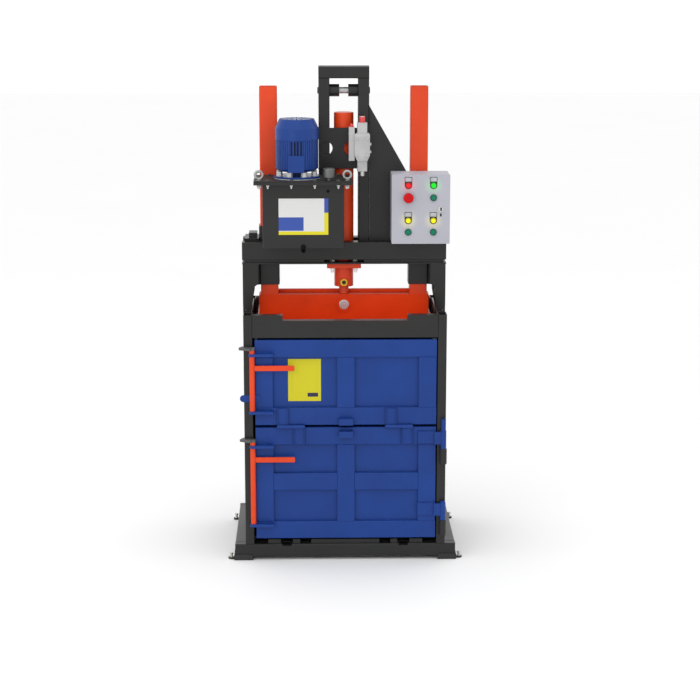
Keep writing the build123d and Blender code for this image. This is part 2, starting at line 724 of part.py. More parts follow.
def leaf_frame(bottom, top):
    """Tube frame of a leaf: full-width rails at top and bottom, and three stiles between."""
    face_y = (FRONT, FRONT + DOOR_THICK)
    with BuildPart() as rails:
        for low in (bottom, top - DOOR_TUBE):
            bar_across((DOOR_LEFT, DOOR_RIGHT), face_y, (low, low + DOOR_TUBE), DOOR_CORNER)
    with BuildPart() as stiles:
        for left in stile_places():
            stile_z = (bottom + DOOR_TUBE, top - DOOR_TUBE)
            bar_up((left, left + DOOR_TUBE), face_y, stile_z, DOOR_CORNER)
    return rails, stiles


def stile_places():
    """Left edges of the three stiles."""
    return DOOR_LEFT, DOOR_MIDDLE - DOOR_TUBE / 2, DOOR_RIGHT - DOOR_TUBE


def bays():
    """Spans of X between the stiles."""
    left, middle, right = stile_places()
    return (left + DOOR_TUBE, middle), (middle + DOOR_TUBE, right)


def build_door():
    """Frame and panels of the lower door."""
    face_y = (FRONT, FRONT + DOOR_THICK)
    panel_y = (FRONT + PANEL_RECESS, FRONT + PANEL_RECESS + PANEL_THICK)
    mid_z = (DOOR_BOTTOM + MID_RAIL_PLACE, DOOR_BOTTOM + MID_RAIL_PLACE + DOOR_TUBE)
    with BuildPart() as middle_rails:
        for bay in bays():
            bar_across(bay, face_y, mid_z, DOOR_CORNER)
    save_welded((*leaf_frame(DOOR_BOTTOM, DOOR_TOP), middle_rails), "door_frame")

    with BuildPart() as door_panels:
        for bay in bays():
            bar_up(bay, panel_y, (DOOR_BOTTOM + DOOR_TUBE, mid_z[0]))
            bar_up(bay, panel_y, (mid_z[1], DOOR_TOP - DOOR_TUBE))
    save(door_panels, "door_panels")


def build_flap():
    """Frame and panels of the loading flap above the door."""
    panel_y = (FRONT + PANEL_RECESS, FRONT + PANEL_RECESS + PANEL_THICK)
    save_welded(leaf_frame(FLAP_BOTTOM, FLAP_TOP), "flap_frame")

    with BuildPart() as flap_panels:
        for bay in bays():
            bar_up(bay, panel_y, (FLAP_BOTTOM + DOOR_TUBE, FLAP_TOP - DOOR_TUBE))
    save(flap_panels, "flap_panels")


def build_door_hinges():
    """Two lift-off hinges: a post with its pin on the column, and an eye strap on the door."""
    axis_y = FRONT - HINGE_REACH
    axis = (HINGE_AXIS_X, axis_y)
    with BuildPart() as hinge_posts:
        for place in HINGE_PLACES:
            low = BASE_TOP + place
            top = low + HINGE_POST_HEIGHT
            round_up(axis, (low, top), HINGE_POST_RADIUS)
            rims = hinge_posts.edges().filter_by(GeomType.CIRCLE).filter_by_position(Axis.Z, low, top)
            chamfer(rims, HINGE_CHAMFER)
            leaf_x = (HINGE_AXIS_X - HINGE_POST_RADIUS, COLUMN_OUT)
            bar_up(leaf_x, (FRONT - HINGE_LEAF_THICK, FRONT), (low, top))
            round_up(axis, (top, top + HINGE_PIN_LENGTH), HINGE_PIN_RADIUS)
    save(hinge_posts, "hinge_posts")

    with BuildPart() as hinge_straps:
        for place, cap_height in zip(HINGE_PLACES, HINGE_CAP_HEIGHTS):
            low = BASE_TOP + place + HINGE_POST_HEIGHT + HINGE_PLAY
            eye_top = low + HINGE_EYE_HEIGHT
            round_up(axis, (low, eye_top), HINGE_EYE_RADIUS)
            round_up(axis, (eye_top, eye_top + cap_height), HINGE_CAP_RADIUS)
            strap_z = (low + STRAP_RISE, low + STRAP_RISE + STRAP_HEIGHT)
            strap_x = (DOOR_RIGHT - STRAP_LENGTH, DOOR_RIGHT)
            bar_up(strap_x, (FRONT - STRAP_THICK, FRONT), strap_z)
            neck_y = (axis_y - STRAP_NECK / 2, axis_y + STRAP_NECK)
            bar_up((DOOR_RIGHT - STRAP_THICK, HINGE_AXIS_X), neck_y, strap_z)
            bore_z = (low, low + HINGE_PIN_LENGTH + HINGE_PLAY)
            round_up(axis, bore_z, HINGE_PIN_RADIUS + FIT, mode=Mode.SUBTRACT)
    save(hinge_straps, "hinge_straps")


def lug(low, bore):
    """One latch lug: a flat bar on the leaf's face whose round end carries the rod."""
    axis_y = FRONT - LATCH_REACH
    lug_z = (low, low + LUG_THICK)
    clear_y = FRONT - (LATCH_REACH - LUG_RADIUS)
    round_up((LATCH_AXIS_X, axis_y), lug_z, LUG_RADIUS)
    bar_up((LATCH_AXIS_X, DOOR_LEFT + LUG_LENGTH), (axis_y - LUG_RADIUS, clear_y), lug_z)
    bar_up((DOOR_LEFT, DOOR_LEFT + LUG_LENGTH), (clear_y, FRONT), lug_z)
    round_up((LATCH_AXIS_X, axis_y), lug_z, bore, mode=Mode.SUBTRACT)


def build_fittings():
    """What is welded on the leaves: hinge eyes and leaves, stops, latch lugs and the side tab."""
    axis = (FRONT - FLAP_AXIS_REACH, FLAP_AXIS_Z)
    leaf_y = (FRONT - FLAP_LEAF_THICK, FRONT)
    half_play = FLAP_HINGE_PLAY / 2
    stop_x = (DOOR_MIDDLE - STOP_WIDTH / 2, DOOR_MIDDLE + STOP_WIDTH / 2)
    stop_y = (axis[0] - STOP_DEPTH, FRONT)
    stop_near = STOP_SIZE - STOP_DEPTH

    def knuckle(middle, side, up):
        """One eye of a hinge on the given side of its middle, with its leaf going up or down."""
        inner = middle + side * half_play
        outer = inner + side * FLAP_EYE_LENGTH
        eye_x = (min(inner, outer), max(inner, outer))
        leaf_end = outer - side * FLAP_LEAF_WIDTH
        leaf_x = (min(outer, leaf_end), max(outer, leaf_end))
        leaf_z = (FLAP_AXIS_Z, FLAP_AXIS_Z + up * (FLAP_GAP / 2 + FLAP_LEAF_HEIGHT))
        round_across(axis, eye_x, FLAP_EYE_RADIUS)
        bar_up(leaf_x, leaf_y, (min(leaf_z), max(leaf_z)))
        round_across(axis, eye_x, FLAP_PIN_RADIUS + FIT, mode=Mode.SUBTRACT)

    with BuildPart() as door_fittings:
        for middle in FLAP_HINGE_PLACES:
            knuckle(middle, 1, -1)
        door_stop_top = FLAP_AXIS_Z - STOP_DEPTH - STOP_PLAY
        bar_up(stop_x, stop_y, (door_stop_top - STOP_SIZE, door_stop_top))
        lug(DOOR_BOTTOM + LOWER_LUGS[0], LATCH_END_RADIUS + FIT)
        lug(DOOR_BOTTOM + LOWER_LUGS[1], LATCH_ROD_RADIUS + FIT)
    save(door_fittings, "door_fittings")

    with BuildPart() as flap_fittings:
        for middle in FLAP_HINGE_PLACES:
            knuckle(middle, -1, 1)
        bar_up(stop_x, stop_y, (FLAP_AXIS_Z + stop_near, FLAP_AXIS_Z + stop_near + STOP_SIZE))
        tab_z = (FLAP_BOTTOM + TAB_RISE, FLAP_BOTTOM + TAB_RISE + TAB_WIDTH)
        tab_y = (FRONT - TAB_THICK - TAB_CLEARANCE, FRONT - TAB_CLEARANCE)
        tab_end_x = -COLUMN_OUT - TAB_REACH
        round_back((tab_end_x, sum(tab_z) / 2), tab_y, TAB_WIDTH / 2)
        bar_up((tab_end_x, DOOR_LEFT), tab_y, tab_z)
        bar_up((DOOR_LEFT, DOOR_LEFT + TAB_WELD), (tab_y[0], FRONT), tab_z)
        lug(FLAP_BOTTOM + UPPER_LUGS[0], LATCH_END_RADIUS + FIT)
        lug(FLAP_BOTTOM + UPPER_LUGS[1], LATCH_ROD_RADIUS + FIT)
    save(flap_fittings, "flap_fittings")

    with BuildPart() as flap_hinge_pins:
        for middle in FLAP_HINGE_PLACES:
            reach = FLAP_EYE_LENGTH + half_play + FLAP_PIN_END
            round_across(axis, (middle - reach, middle + reach), FLAP_PIN_RADIUS)
    save(flap_hinge_pins, "flap_hinge_pins")


# Latches

def build_latch(prefix, bottom, places, handle_rise, cam_middle):
    """One latch: a stepped rod with its flat handle, and the cam plate on its top end."""
    axis = (LATCH_AXIS_X, FRONT - LATCH_REACH)
    step_z = bottom + places[0] + LUG_THICK + LATCH_SEAT_GAP
    cam_z = (cam_middle - CAM_THICK / 2, cam_middle + CAM_THICK / 2)
    handle_z = step_z + handle_rise
    with BuildPart() as latch_bar:
        round_up(axis, (bottom + places[0], step_z), LATCH_END_RADIUS)
        round_up(axis, (step_z, cam_z[0]), LATCH_ROD_RADIUS)
        with BuildSketch(Plane.XZ.offset(-(axis[1] + HANDLE_THICK / 2))) as handle:
            with Locations((LATCH_AXIS_X + HANDLE_LENGTH / 2, handle_z)):
                RectangleRounded(HANDLE_LENGTH, HANDLE_HEIGHT, DOOR_CORNER)
        extrude(handle.sketch, amount=HANDLE_THICK)
    save(latch_bar, f"{prefix}_latch_bar")

    angle = radians(CAM_ANGLE)
    along = (cos(angle), sin(angle))
    rear = (sin(angle), -cos(angle))

    def corner(length, offset):
        """A corner of the tongue, from its distance along the cam and towards the rear."""
        x = axis[0] + length * along[0] + offset * rear[0]
        y = axis[1] + length * along[1] + offset * rear[1]
        return x, y

    with BuildPart() as latch_cam:
        with BuildSketch(Plane.XY.offset(cam_z[0])) as outline:
            with Locations(axis):
                Circle(CAM_REAR)
            with BuildLine():
                Polyline(
                    corner(0, CAM_REAR),
                    corner(CAM_LENGTH, CAM_REAR),
                    corner(CAM_LENGTH, -CAM_FRONT),
                    corner(0, -CAM_FRONT),
                    close=True,
                )
            make_face()
        extrude(amount=CAM_THICK)
    save(latch_cam, f"{prefix}_latch_cam")


# Press head

def build_head():
    """Posts, plate, packers and beams that carry the press cylinder over the chamber."""
    build_head_posts()

    with BuildPart() as head_plate:
        bar_up((-HEAD_HALF, HEAD_HALF), (HEAD_FRONT, HEAD_BACK), (POST_TOP, HEAD_PLATE_TOP))
        with BuildSketch(Plane.XY.offset(POST_TOP)) as holes:
            with Locations((-GUIDE_SPREAD, PRESS_Y), (GUIDE_SPREAD, PRESS_Y)):
                RectangleRounded(SLEEVE_SIZE, SLEEVE_SIZE, GUIDE_CORNER)
            with Locations((0, PRESS_Y)):
                Circle(BARREL_RADIUS + BARREL_PLAY)
            with Locations(*flange_bolt_places()):
                Circle(BOLT_RADIUS + FIT)
        extrude(amount=HEAD_PLATE, mode=Mode.SUBTRACT)
        front_y = (HEAD_FRONT + PACKER_INSET, HEAD_FRONT + PACKER_INSET + PACKER_DEPTH)
        back_y = (HEAD_BACK - PACKER_INSET - PACKER_DEPTH, HEAD_BACK - PACKER_INSET)
        for span in both_sides((PACKER_FREE, HEAD_HALF - PACKER_INSET)):
            for packer_y in (front_y, back_y):
                bar_up(span, packer_y, (HEAD_PLATE_TOP, HEAD_BEAM_BOTTOM))
    save(head_plate, "head_plate")

    with BuildPart() as head_beams:
        beam_z = (HEAD_BEAM_BOTTOM, HEAD_TOP)
        for beam_y in ((HEAD_FRONT, HEAD_GAP_FRONT), (HEAD_GAP_BACK, HEAD_BACK)):
            bar_across((-HEAD_HALF, HEAD_HALF), beam_y, beam_z, HEAD_BEAM_CORNER)
    save(head_beams, "head_beams")

    with BuildPart() as guide_sleeves:
        with BuildSketch(Plane.XY.offset(POST_TOP - SLEEVE_BELOW)) as ring:
            with Locations((-GUIDE_SPREAD, PRESS_Y), (GUIDE_SPREAD, PRESS_Y)):
                RectangleRounded(SLEEVE_SIZE, SLEEVE_SIZE, GUIDE_CORNER)
                RectangleRounded(SLEEVE_BORE, SLEEVE_BORE, GUIDE_CORNER, mode=Mode.SUBTRACT)
        extrude(amount=SLEEVE_BELOW + HEAD_PLATE + SLEEVE_ABOVE)
    save(guide_sleeves, "guide_sleeves")
    build_sleeve_stay()


def build_head_posts():
    """Two posts of folded channel on each side, one under each head beam, with tapered feet."""
    neck_z = WALL_TOP + POST_NECK_HEIGHT
    heel_z = WALL_TOP + POST_HEEL_HEIGHT
    head_z = POST_TOP - POST_HEAD_HEIGHT
    post_out = COLUMN_OUT + POST_PLATE
    post_spans = ((HEAD_FRONT, HEAD_GAP_FRONT), (HEAD_GAP_BACK, HEAD_BACK))
    with BuildPart() as post_flanges:
        for span_y in post_spans:
            for near in (span_y[0], span_y[1] - POST_PLATE):
                with BuildSketch(Plane.XZ.offset(-(near + POST_PLATE))) as flange:
                    with BuildLine():
                        Polyline(
                            (COLUMN_IN + POST_FOOT_IN, WALL_TOP),
                            (COLUMN_OUT - POST_FOOT_OUT, WALL_TOP),
                            (COLUMN_OUT, heel_z),
                            (post_out, heel_z),
                            (post_out, POST_TOP),
                            (COLUMN_IN - POST_HEAD_IN, POST_TOP),
                            (COLUMN_IN - POST_HEAD_IN, head_z),
                            (COLUMN_IN, head_z - POST_HEAD_SLOPE),
                            (COLUMN_IN, neck_z),
                            close=True,
                        )
                    make_face()
                extrude(flange.sketch, amount=POST_PLATE)
        mirror(about=Plane.YZ)
    with BuildPart() as post_webs:
        for span_y in post_spans:
            web_y = (span_y[0] + POST_PLATE, span_y[1] - POST_PLATE)
            bar_up((COLUMN_OUT, post_out), web_y, (WALL_TOP - POST_LAP, POST_TOP))
            foot_x = (COLUMN_IN + POST_FOOT_IN, COLUMN_OUT - POST_FOOT_OUT)
            bar_up(foot_x, web_y, (WALL_TOP, WALL_TOP + POST_PLATE))
        mirror(about=Plane.YZ)
    with BuildPart() as post_wings:
        wing_x = (GUIDE_SPREAD + SLEEVE_SIZE / 2, COLUMN_IN - POST_HEAD_IN + POST_WING_LAP)
        front_y = (HEAD_GAP_FRONT, HEAD_GAP_FRONT + POST_WING_DEPTH)
        back_y = (HEAD_GAP_BACK - POST_WING_DEPTH, HEAD_GAP_BACK)
        for wing_y in (front_y, back_y):
            bar_up(wing_x, wing_y, (POST_TOP - SLEEVE_BELOW, POST_TOP))
        mirror(about=Plane.YZ)
    save_welded((post_flanges, post_webs, post_wings), "head_posts")


def build_sleeve_stay():
    """The stay beside the left guide sleeve: a pocketed bar over both beams, with a block on it."""
    near_x = -GUIDE_SPREAD - SLEEVE_SIZE / 2
    far_x = near_x - STAY_LENGTH
    bar_y = (PRESS_Y - STAY_DEPTH / 2, PRESS_Y + STAY_DEPTH / 2)
    bar_z = (HEAD_TOP, HEAD_TOP + STAY_HEIGHT)
    with BuildPart() as stay_bar:
        bar_up((far_x, near_x), bar_y, bar_z)
        recess_y = (bar_y[0], bar_y[0] + STAY_RECESS)
        recess_z = (bar_z[0] + STAY_RECESS_RIM, bar_z[1] - STAY_RECESS_RIM)
        small, large = STAY_RECESSES
        small_right = near_x - STAY_RECESS_SIDE
        large_left = far_x + STAY_RECESS_SIDE
        bar_up((small_right - small, small_right), recess_y, recess_z, mode=Mode.SUBTRACT)
        bar_up((large_left, large_left + large), recess_y, recess_z, mode=Mode.SUBTRACT)
    with BuildPart() as stay_block:
        block_x = (near_x - STAY_BLOCK_INSET - STAY_BLOCK_WIDTH, near_x - STAY_BLOCK_INSET)
        block_y = (PRESS_Y - STAY_BLOCK_DEPTH / 2, PRESS_Y + STAY_BLOCK_DEPTH / 2)
        block_z = (bar_z[1], bar_z[1] + STAY_BLOCK_HEIGHT)
        bar_up(block_x, block_y, block_z)
        groove_z = (sum(block_z) / 2 - STAY_GROOVE / 2, sum(block_z) / 2 + STAY_GROOVE / 2)
        for groove_y in ((block_y[0], block_y[0] + STAY_GROOVE), (block_y[1] - STAY_GROOVE, block_y[1])):
            bar_up(block_x, groove_y, groove_z, mode=Mode.SUBTRACT)
    save_welded((stay_bar, stay_block), "sleeve_stay")


def flange_bolt_places():
    """Places of the four bolts that hold the cylinder's flange."""
    reach = FLANGE_BOLT_PLACE
    return [(x, PRESS_Y + y) for x in (-reach, reach) for y in (-reach, reach)]


def build_cylinder():
    """The press cylinder: barrel with its end cap, flanged gland with its port, and bolts."""
    with BuildPart() as cylinder_barrel:
        round_up((0, PRESS_Y), (POST_TOP, BARREL_TOP), BARREL_RADIUS)
        cap_edge = cylinder_barrel.edges().filter_by(GeomType.CIRCLE).sort_by(Axis.Z)[-1]
        chamfer(cap_edge, HINGE_CHAMFER)
        bore_z = (POST_TOP, BARREL_TOP - BARREL_CAP)
        round_up((0, PRESS_Y), bore_z, BARREL_BORE, mode=Mode.SUBTRACT)
    save(cylinder_barrel, "cylinder_barrel")

    port_place = (0, NECK_BOTTOM + PORT_RISE)
    port_front = PRESS_Y - NECK_RADIUS - PORT_LENGTH
    with BuildPart() as cylinder_gland:
        with BuildSketch(Plane.XY.offset(POST_TOP - FLANGE_THICK)) as flange:
            with Locations((0, PRESS_Y)):
                RectangleRounded(FLANGE_SIZE, FLANGE_SIZE, FLANGE_CORNER)
            with Locations(*flange_bolt_places()):
                Circle(BOLT_RADIUS + FIT, mode=Mode.SUBTRACT)
        extrude(amount=FLANGE_THICK)
        round_up((0, PRESS_Y), (NECK_BOTTOM, POST_TOP - FLANGE_THICK), NECK_RADIUS)
        round_back(port_place, (port_front, PRESS_Y), PORT_RADIUS)
        round_up((0, PRESS_Y), (NECK_BOTTOM, POST_TOP), ROD_RADIUS + FIT, mode=Mode.SUBTRACT)
        port_y = (port_front, PRESS_Y - (NECK_RADIUS + ROD_RADIUS) / 2)
        round_back(port_place, port_y, PORT_BORE, mode=Mode.SUBTRACT)
    save(cylinder_gland, "cylinder_gland")

    head_z = (POST_TOP - FLANGE_THICK - BOLT_HEAD_HEIGHT, POST_TOP - FLANGE_THICK)
    nut_z = (HEAD_PLATE_TOP, HEAD_PLATE_TOP + BOLT_NUT_HEIGHT)
    with BuildPart() as head_bolts:
        for place in flange_bolt_places():
            round_up(place, (head_z[0] - BOLT_TAIL, nut_z[1]), BOLT_RADIUS)
            hex_up(place, head_z, BOLT_NUT_RADIUS)
            hex_up(place, nut_z, BOLT_NUT_RADIUS)
    save(head_bolts, "head_bolts")


def build_platen():
    """What the cylinder drives: press plate, cross beam, guide tubes, piston rod and pin."""
    plate_z = (PLATEN_BOTTOM, PLATEN_BEAM_BOTTOM)
    rim_z = (PLATEN_BEAM_BOTTOM, PLATEN_BEAM_BOTTOM + PLATEN_RIM)
    plate_x = (-PLATEN_HALF, PLATEN_HALF)
    with BuildPart() as press_sheet:
        bar_up(plate_x, (PLATEN_FRONT, PLATEN_BACK), plate_z)
    with BuildPart() as long_rims:
        bar_up(plate_x, (PLATEN_FRONT, PLATEN_FRONT + PLATEN_RIM_THICK), rim_z)
        bar_up(plate_x, (PLATEN_BACK - PLATEN_RIM_THICK, PLATEN_BACK), rim_z)
    with BuildPart() as side_rims:
        side_y = (PLATEN_FRONT + PLATEN_RIM_THICK, PLATEN_BACK - PLATEN_RIM_THICK)
        beam_x = PLATEN_HALF - PLATEN_BEAM_END
        for span in both_sides((beam_x, PLATEN_HALF)):
            bar_up(span, side_y, rim_z)
    save_welded((press_sheet, long_rims, side_rims), "press_plate")

    beam_z = (PLATEN_BEAM_BOTTOM, PLATEN_BEAM_TOP)
    hollow_y = (GUIDE_FRONT + PLATEN_BEAM_WALL, GUIDE_BACK - PLATEN_BEAM_WALL)
    hollow_z = (beam_z[0] + PLATEN_BEAM_WALL, beam_z[1] - PLATEN_BEAM_WALL)
    with BuildPart() as platen_beam:
        bar_across((-beam_x, beam_x), (GUIDE_FRONT, GUIDE_BACK), beam_z)
        bar_across((-beam_x, beam_x), hollow_y, hollow_z, mode=Mode.SUBTRACT)
        lip_x = (-GUIDE_SPREAD + GUIDE_TUBE / 2, GUIDE_SPREAD - GUIDE_TUBE / 2)
        lip_y = (GUIDE_BACK - PLATEN_LIP_THICK, GUIDE_BACK)
        bar_across(lip_x, lip_y, (beam_z[1], beam_z[1] + PLATEN_LIP_HEIGHT))
        boss_y = (GUIDE_FRONT - ROD_BOSS_THICK, GUIDE_FRONT)
        round_back((0, ROD_PIN_Z), boss_y, ROD_BOSS_RADIUS)
        rod_z = (hollow_z[1], beam_z[1] + PLATEN_LIP_HEIGHT)
        round_up((0, PRESS_Y), rod_z, ROD_RADIUS + ROD_SOCKET, mode=Mode.SUBTRACT)
        pin_y = (boss_y[0], GUIDE_BACK)
        round_back((0, ROD_PIN_Z), pin_y, ROD_PIN_RADIUS + FIT, mode=Mode.SUBTRACT)
    save(platen_beam, "platen_beam")

    with BuildPart() as guide_tubes:
        with BuildSketch(Plane.XY.offset(PLATEN_BEAM_TOP)) as ring:
            bore = GUIDE_TUBE - 2 * GUIDE_TUBE_WALL
            bore_corner = max(GUIDE_CORNER - GUIDE_TUBE_WALL, CORNER_LEAST)
            with Locations((-GUIDE_SPREAD, PRESS_Y), (GUIDE_SPREAD, PRESS_Y)):
                RectangleRounded(GUIDE_TUBE, GUIDE_TUBE, GUIDE_CORNER)
                RectangleRounded(bore, bore, bore_corner, mode=Mode.SUBTRACT)
        extrude(amount=GUIDE_TUBE_LENGTH)
    save(guide_tubes, "guide_tubes")

    piston_top = BARREL_TOP - BARREL_CAP - PISTON_HEADROOM
    with BuildPart() as piston_rod:
        round_up((0, PRESS_Y), (ROD_PIN_Z - ROD_TAIL, piston_top), ROD_RADIUS)
        piston_z = (piston_top - PISTON_THICK, piston_top)
        round_up((0, PRESS_Y), piston_z, BARREL_BORE - PISTON_GAP)
        eye_y = (PRESS_Y - ROD_RADIUS, PRESS_Y + ROD_RADIUS)
        round_back((0, ROD_PIN_Z), eye_y, ROD_PIN_RADIUS + FIT, mode=Mode.SUBTRACT)
    save(piston_rod, "piston_rod")

    with BuildPart() as rod_pin:
        round_back((0, ROD_PIN_Z), (boss_y[0], GUIDE_BACK), ROD_PIN_RADIUS)
        head_y = (boss_y[0] - ROD_PIN_HEAD_THICK, boss_y[0])
        round_back((0, ROD_PIN_Z), head_y, ROD_PIN_HEAD)
        head_rim = rod_pin.edges().filter_by(GeomType.CIRCLE).sort_by(Axis.Y)[0]
        fillet(head_rim, ROD_PIN_FILLET)
    save(rod_pin, "rod_pin")


# Lifting yoke and what it carries

def build_yoke():
    """Yoke posts with their top bar and front plate, the lifting pin with its bushes, the gusset."""
    post_y = (HEAD_GAP_FRONT, HEAD_GAP_BACK)
    post_z = (HEAD_PLATE_TOP, YOKE_TOP)
    pin_place = (PRESS_Y, YOKE_PIN_Z)
    with BuildPart() as yoke_posts:
        for span in both_sides((YOKE_POST_IN, YOKE_POST_OUT)):
            bar_up(span, post_y, post_z, YOKE_CORNER)
            bore_x = (span[0] + YOKE_WALL, span[1] - YOKE_WALL)
            bore_y = (post_y[0] + YOKE_WALL, post_y[1] - YOKE_WALL)
            bar_up(bore_x, bore_y, post_z, mode=Mode.SUBTRACT)
        pin_x = (-YOKE_POST_OUT, YOKE_POST_OUT)
        round_across(pin_place, pin_x, YOKE_PIN_RADIUS + FIT, mode=Mode.SUBTRACT)

    with BuildPart() as yoke_bar:
        bar_z = (YOKE_TOP, YOKE_TOP + YOKE_BAR_HEIGHT)
        bar_across((-YOKE_POST_OUT, YOKE_POST_OUT), post_y, bar_z, YOKE_CORNER)
        hollow_y = (post_y[0] + YOKE_WALL, post_y[1] - YOKE_WALL)
        hollow_z = (bar_z[0] + YOKE_WALL, bar_z[1] - YOKE_WALL)
        bar_across((-YOKE_POST_OUT, YOKE_POST_OUT), hollow_y, hollow_z, mode=Mode.SUBTRACT)

    with BuildPart() as yoke_plate:
        plate_z = (YOKE_PLATE_BOTTOM, YOKE_PLATE_BOTTOM + YOKE_PLATE_HEIGHT)
        plate_y = (YOKE_PLATE_FRONT, HEAD_GAP_FRONT)
        bar_up((-YOKE_POST_OUT, YOKE_POST_OUT), plate_y, plate_z)
        for place in YOKE_PLATE_HOLES:
            round_back((place, sum(plate_z) / 2), plate_y, YOKE_PLATE_HOLE, mode=Mode.SUBTRACT)
    save_welded((yoke_posts, yoke_bar, yoke_plate), "yoke_frame")

    with BuildPart() as lifting_pin:
        pin_reach = YOKE_POST_OUT + YOKE_PIN_END
        round_across(pin_place, (-pin_reach, pin_reach), YOKE_PIN_RADIUS)
        chamfer(lifting_pin.edges().filter_by(GeomType.CIRCLE), HINGE_CHAMFER)
        for span in both_sides((YOKE_POST_IN - YOKE_BUSH_LENGTH, YOKE_POST_IN)):
            round_across(pin_place, span, YOKE_BUSH_RADIUS)
    save(lifting_pin, "lifting_pin")

    gusset_thick = (HEAD_GAP - SLEEVE_SIZE) / 2
    with BuildPart() as cabinet_gusset:
        with BuildSketch(Plane.XZ.offset(-(HEAD_GAP_FRONT + gusset_thick))) as outline:
            with BuildLine():
                Polyline(
                    (YOKE_POST_OUT, HEAD_BEAM_BOTTOM),
                    (HEAD_HALF, HEAD_BEAM_BOTTOM),
                    (HEAD_HALF, HEAD_TOP),
                    (YOKE_POST_OUT, YOKE_TOP - GUSSET_DROP),
                    close=True,
                )
            make_face()
        extrude(amount=gusset_thick)
    save(cabinet_gusset, "cabinet_gusset")


def build_valve():
    """Directional valve on the yoke plate: body with its side block, coils and end nuts."""
    back = YOKE_PLATE_FRONT
    body_x = (VALVE_CENTRE - VALVE_WIDTH / 2, VALVE_CENTRE + VALVE_WIDTH / 2)
    body_z = (YOKE_PLATE_BOTTOM + VALVE_RISE, YOKE_PLATE_BOTTOM + VALVE_RISE + VALVE_HEIGHT)
    middle_y = back - VALVE_DEPTH / 2
    with BuildPart() as valve_body:
        with BuildSketch(Plane.XZ.offset(-back)) as profile:
            with BuildLine():
                Polyline(
                    (body_x[0] + VALVE_SLOPE_WIDTH, body_z[0]),
                    (body_x[1] - VALVE_SLOPE_WIDTH, body_z[0]),
                    (body_x[1], body_z[0] + VALVE_SLOPE_HEIGHT),
                    (body_x[1], body_z[1] - VALVE_TOP_SLOPE),
                    (body_x[1] - VALVE_TOP_SLOPE, body_z[1]),
                    (body_x[0] + VALVE_TOP_SLOPE, body_z[1]),
                    (body_x[0], body_z[1] - VALVE_TOP_SLOPE),
                    (body_x[0], body_z[0] + VALVE_SLOPE_HEIGHT),
                    close=True,
                )
            make_face()
        extrude(amount=VALVE_DEPTH)
        block_x = (body_x[0] - VALVE_BLOCK_WIDTH, body_x[0])
        bar_up(block_x, (back - VALVE_BLOCK_DEPTH, back), (body_z[0], body_z[0] + VALVE_BLOCK_HEIGHT))
        for near, way in ((body_z[1], 1), (body_z[0], -1)):
            far = near + way * (COIL_LENGTH + COIL_NUT_LENGTH / 2)
            round_up((VALVE_CENTRE, middle_y), (min(near, far), max(near, far)), COIL_CORE)
    save(valve_body, "valve_body")

    with BuildPart() as valve_coils:
        for low in (body_z[1], body_z[0] - COIL_LENGTH):
            coil_z = (low, low + COIL_LENGTH)
            coil_x = (VALVE_CENTRE - COIL_SIZE / 2, VALVE_CENTRE + COIL_SIZE / 2)
            coil_y = (middle_y - COIL_SIZE / 2, middle_y + COIL_SIZE / 2)
            bar_up(coil_x, coil_y, coil_z, COIL_CORNER)
            round_up((VALVE_CENTRE, middle_y), coil_z, COIL_CORE + FIT, mode=Mode.SUBTRACT)
    save(valve_coils, "valve_coils")

    with BuildPart() as valve_nuts:
        top = body_z[1] + COIL_LENGTH
        low = body_z[0] - COIL_LENGTH
        for nut_z in ((top, top + COIL_NUT_TOP), (low - COIL_NUT_LENGTH, low)):
            round_up((VALVE_CENTRE, middle_y), nut_z, COIL_NUT_RADIUS)
        core_z = (low - COIL_NUT_LENGTH / 2, top + COIL_NUT_LENGTH / 2)
        round_up((VALVE_CENTRE, middle_y), core_z, COIL_CORE + FIT, mode=Mode.SUBTRACT)
    save(valve_nuts, "valve_nuts")


# Oil unit

def lid_bolt_places():
    """Places of the lid bolts along the front and back rims of the tank."""
    first = TANK_LEFT + LID_BOLT_END
    pitch = (TANK_WIDTH - 2 * LID_BOLT_END) / (LID_BOLT_COUNT - 1)
    columns = [first + pitch * index for index in range(LID_BOLT_COUNT)]
    rows = (TANK_RIM_FRONT + LID_BOLT_INSET, HEAD_GAP_FRONT - LID_BOLT_INSET)
    return [(x, y) for x in columns for y in rows]


def eye_places():
    """Places of the two lifting eyes on the side rims."""
    spread = TANK_WIDTH / 2 + EYE_OUTSET
    return [(TANK_CENTRE + side * spread, TANK_FRONT + EYE_INSET) for side in (-1, 1)]


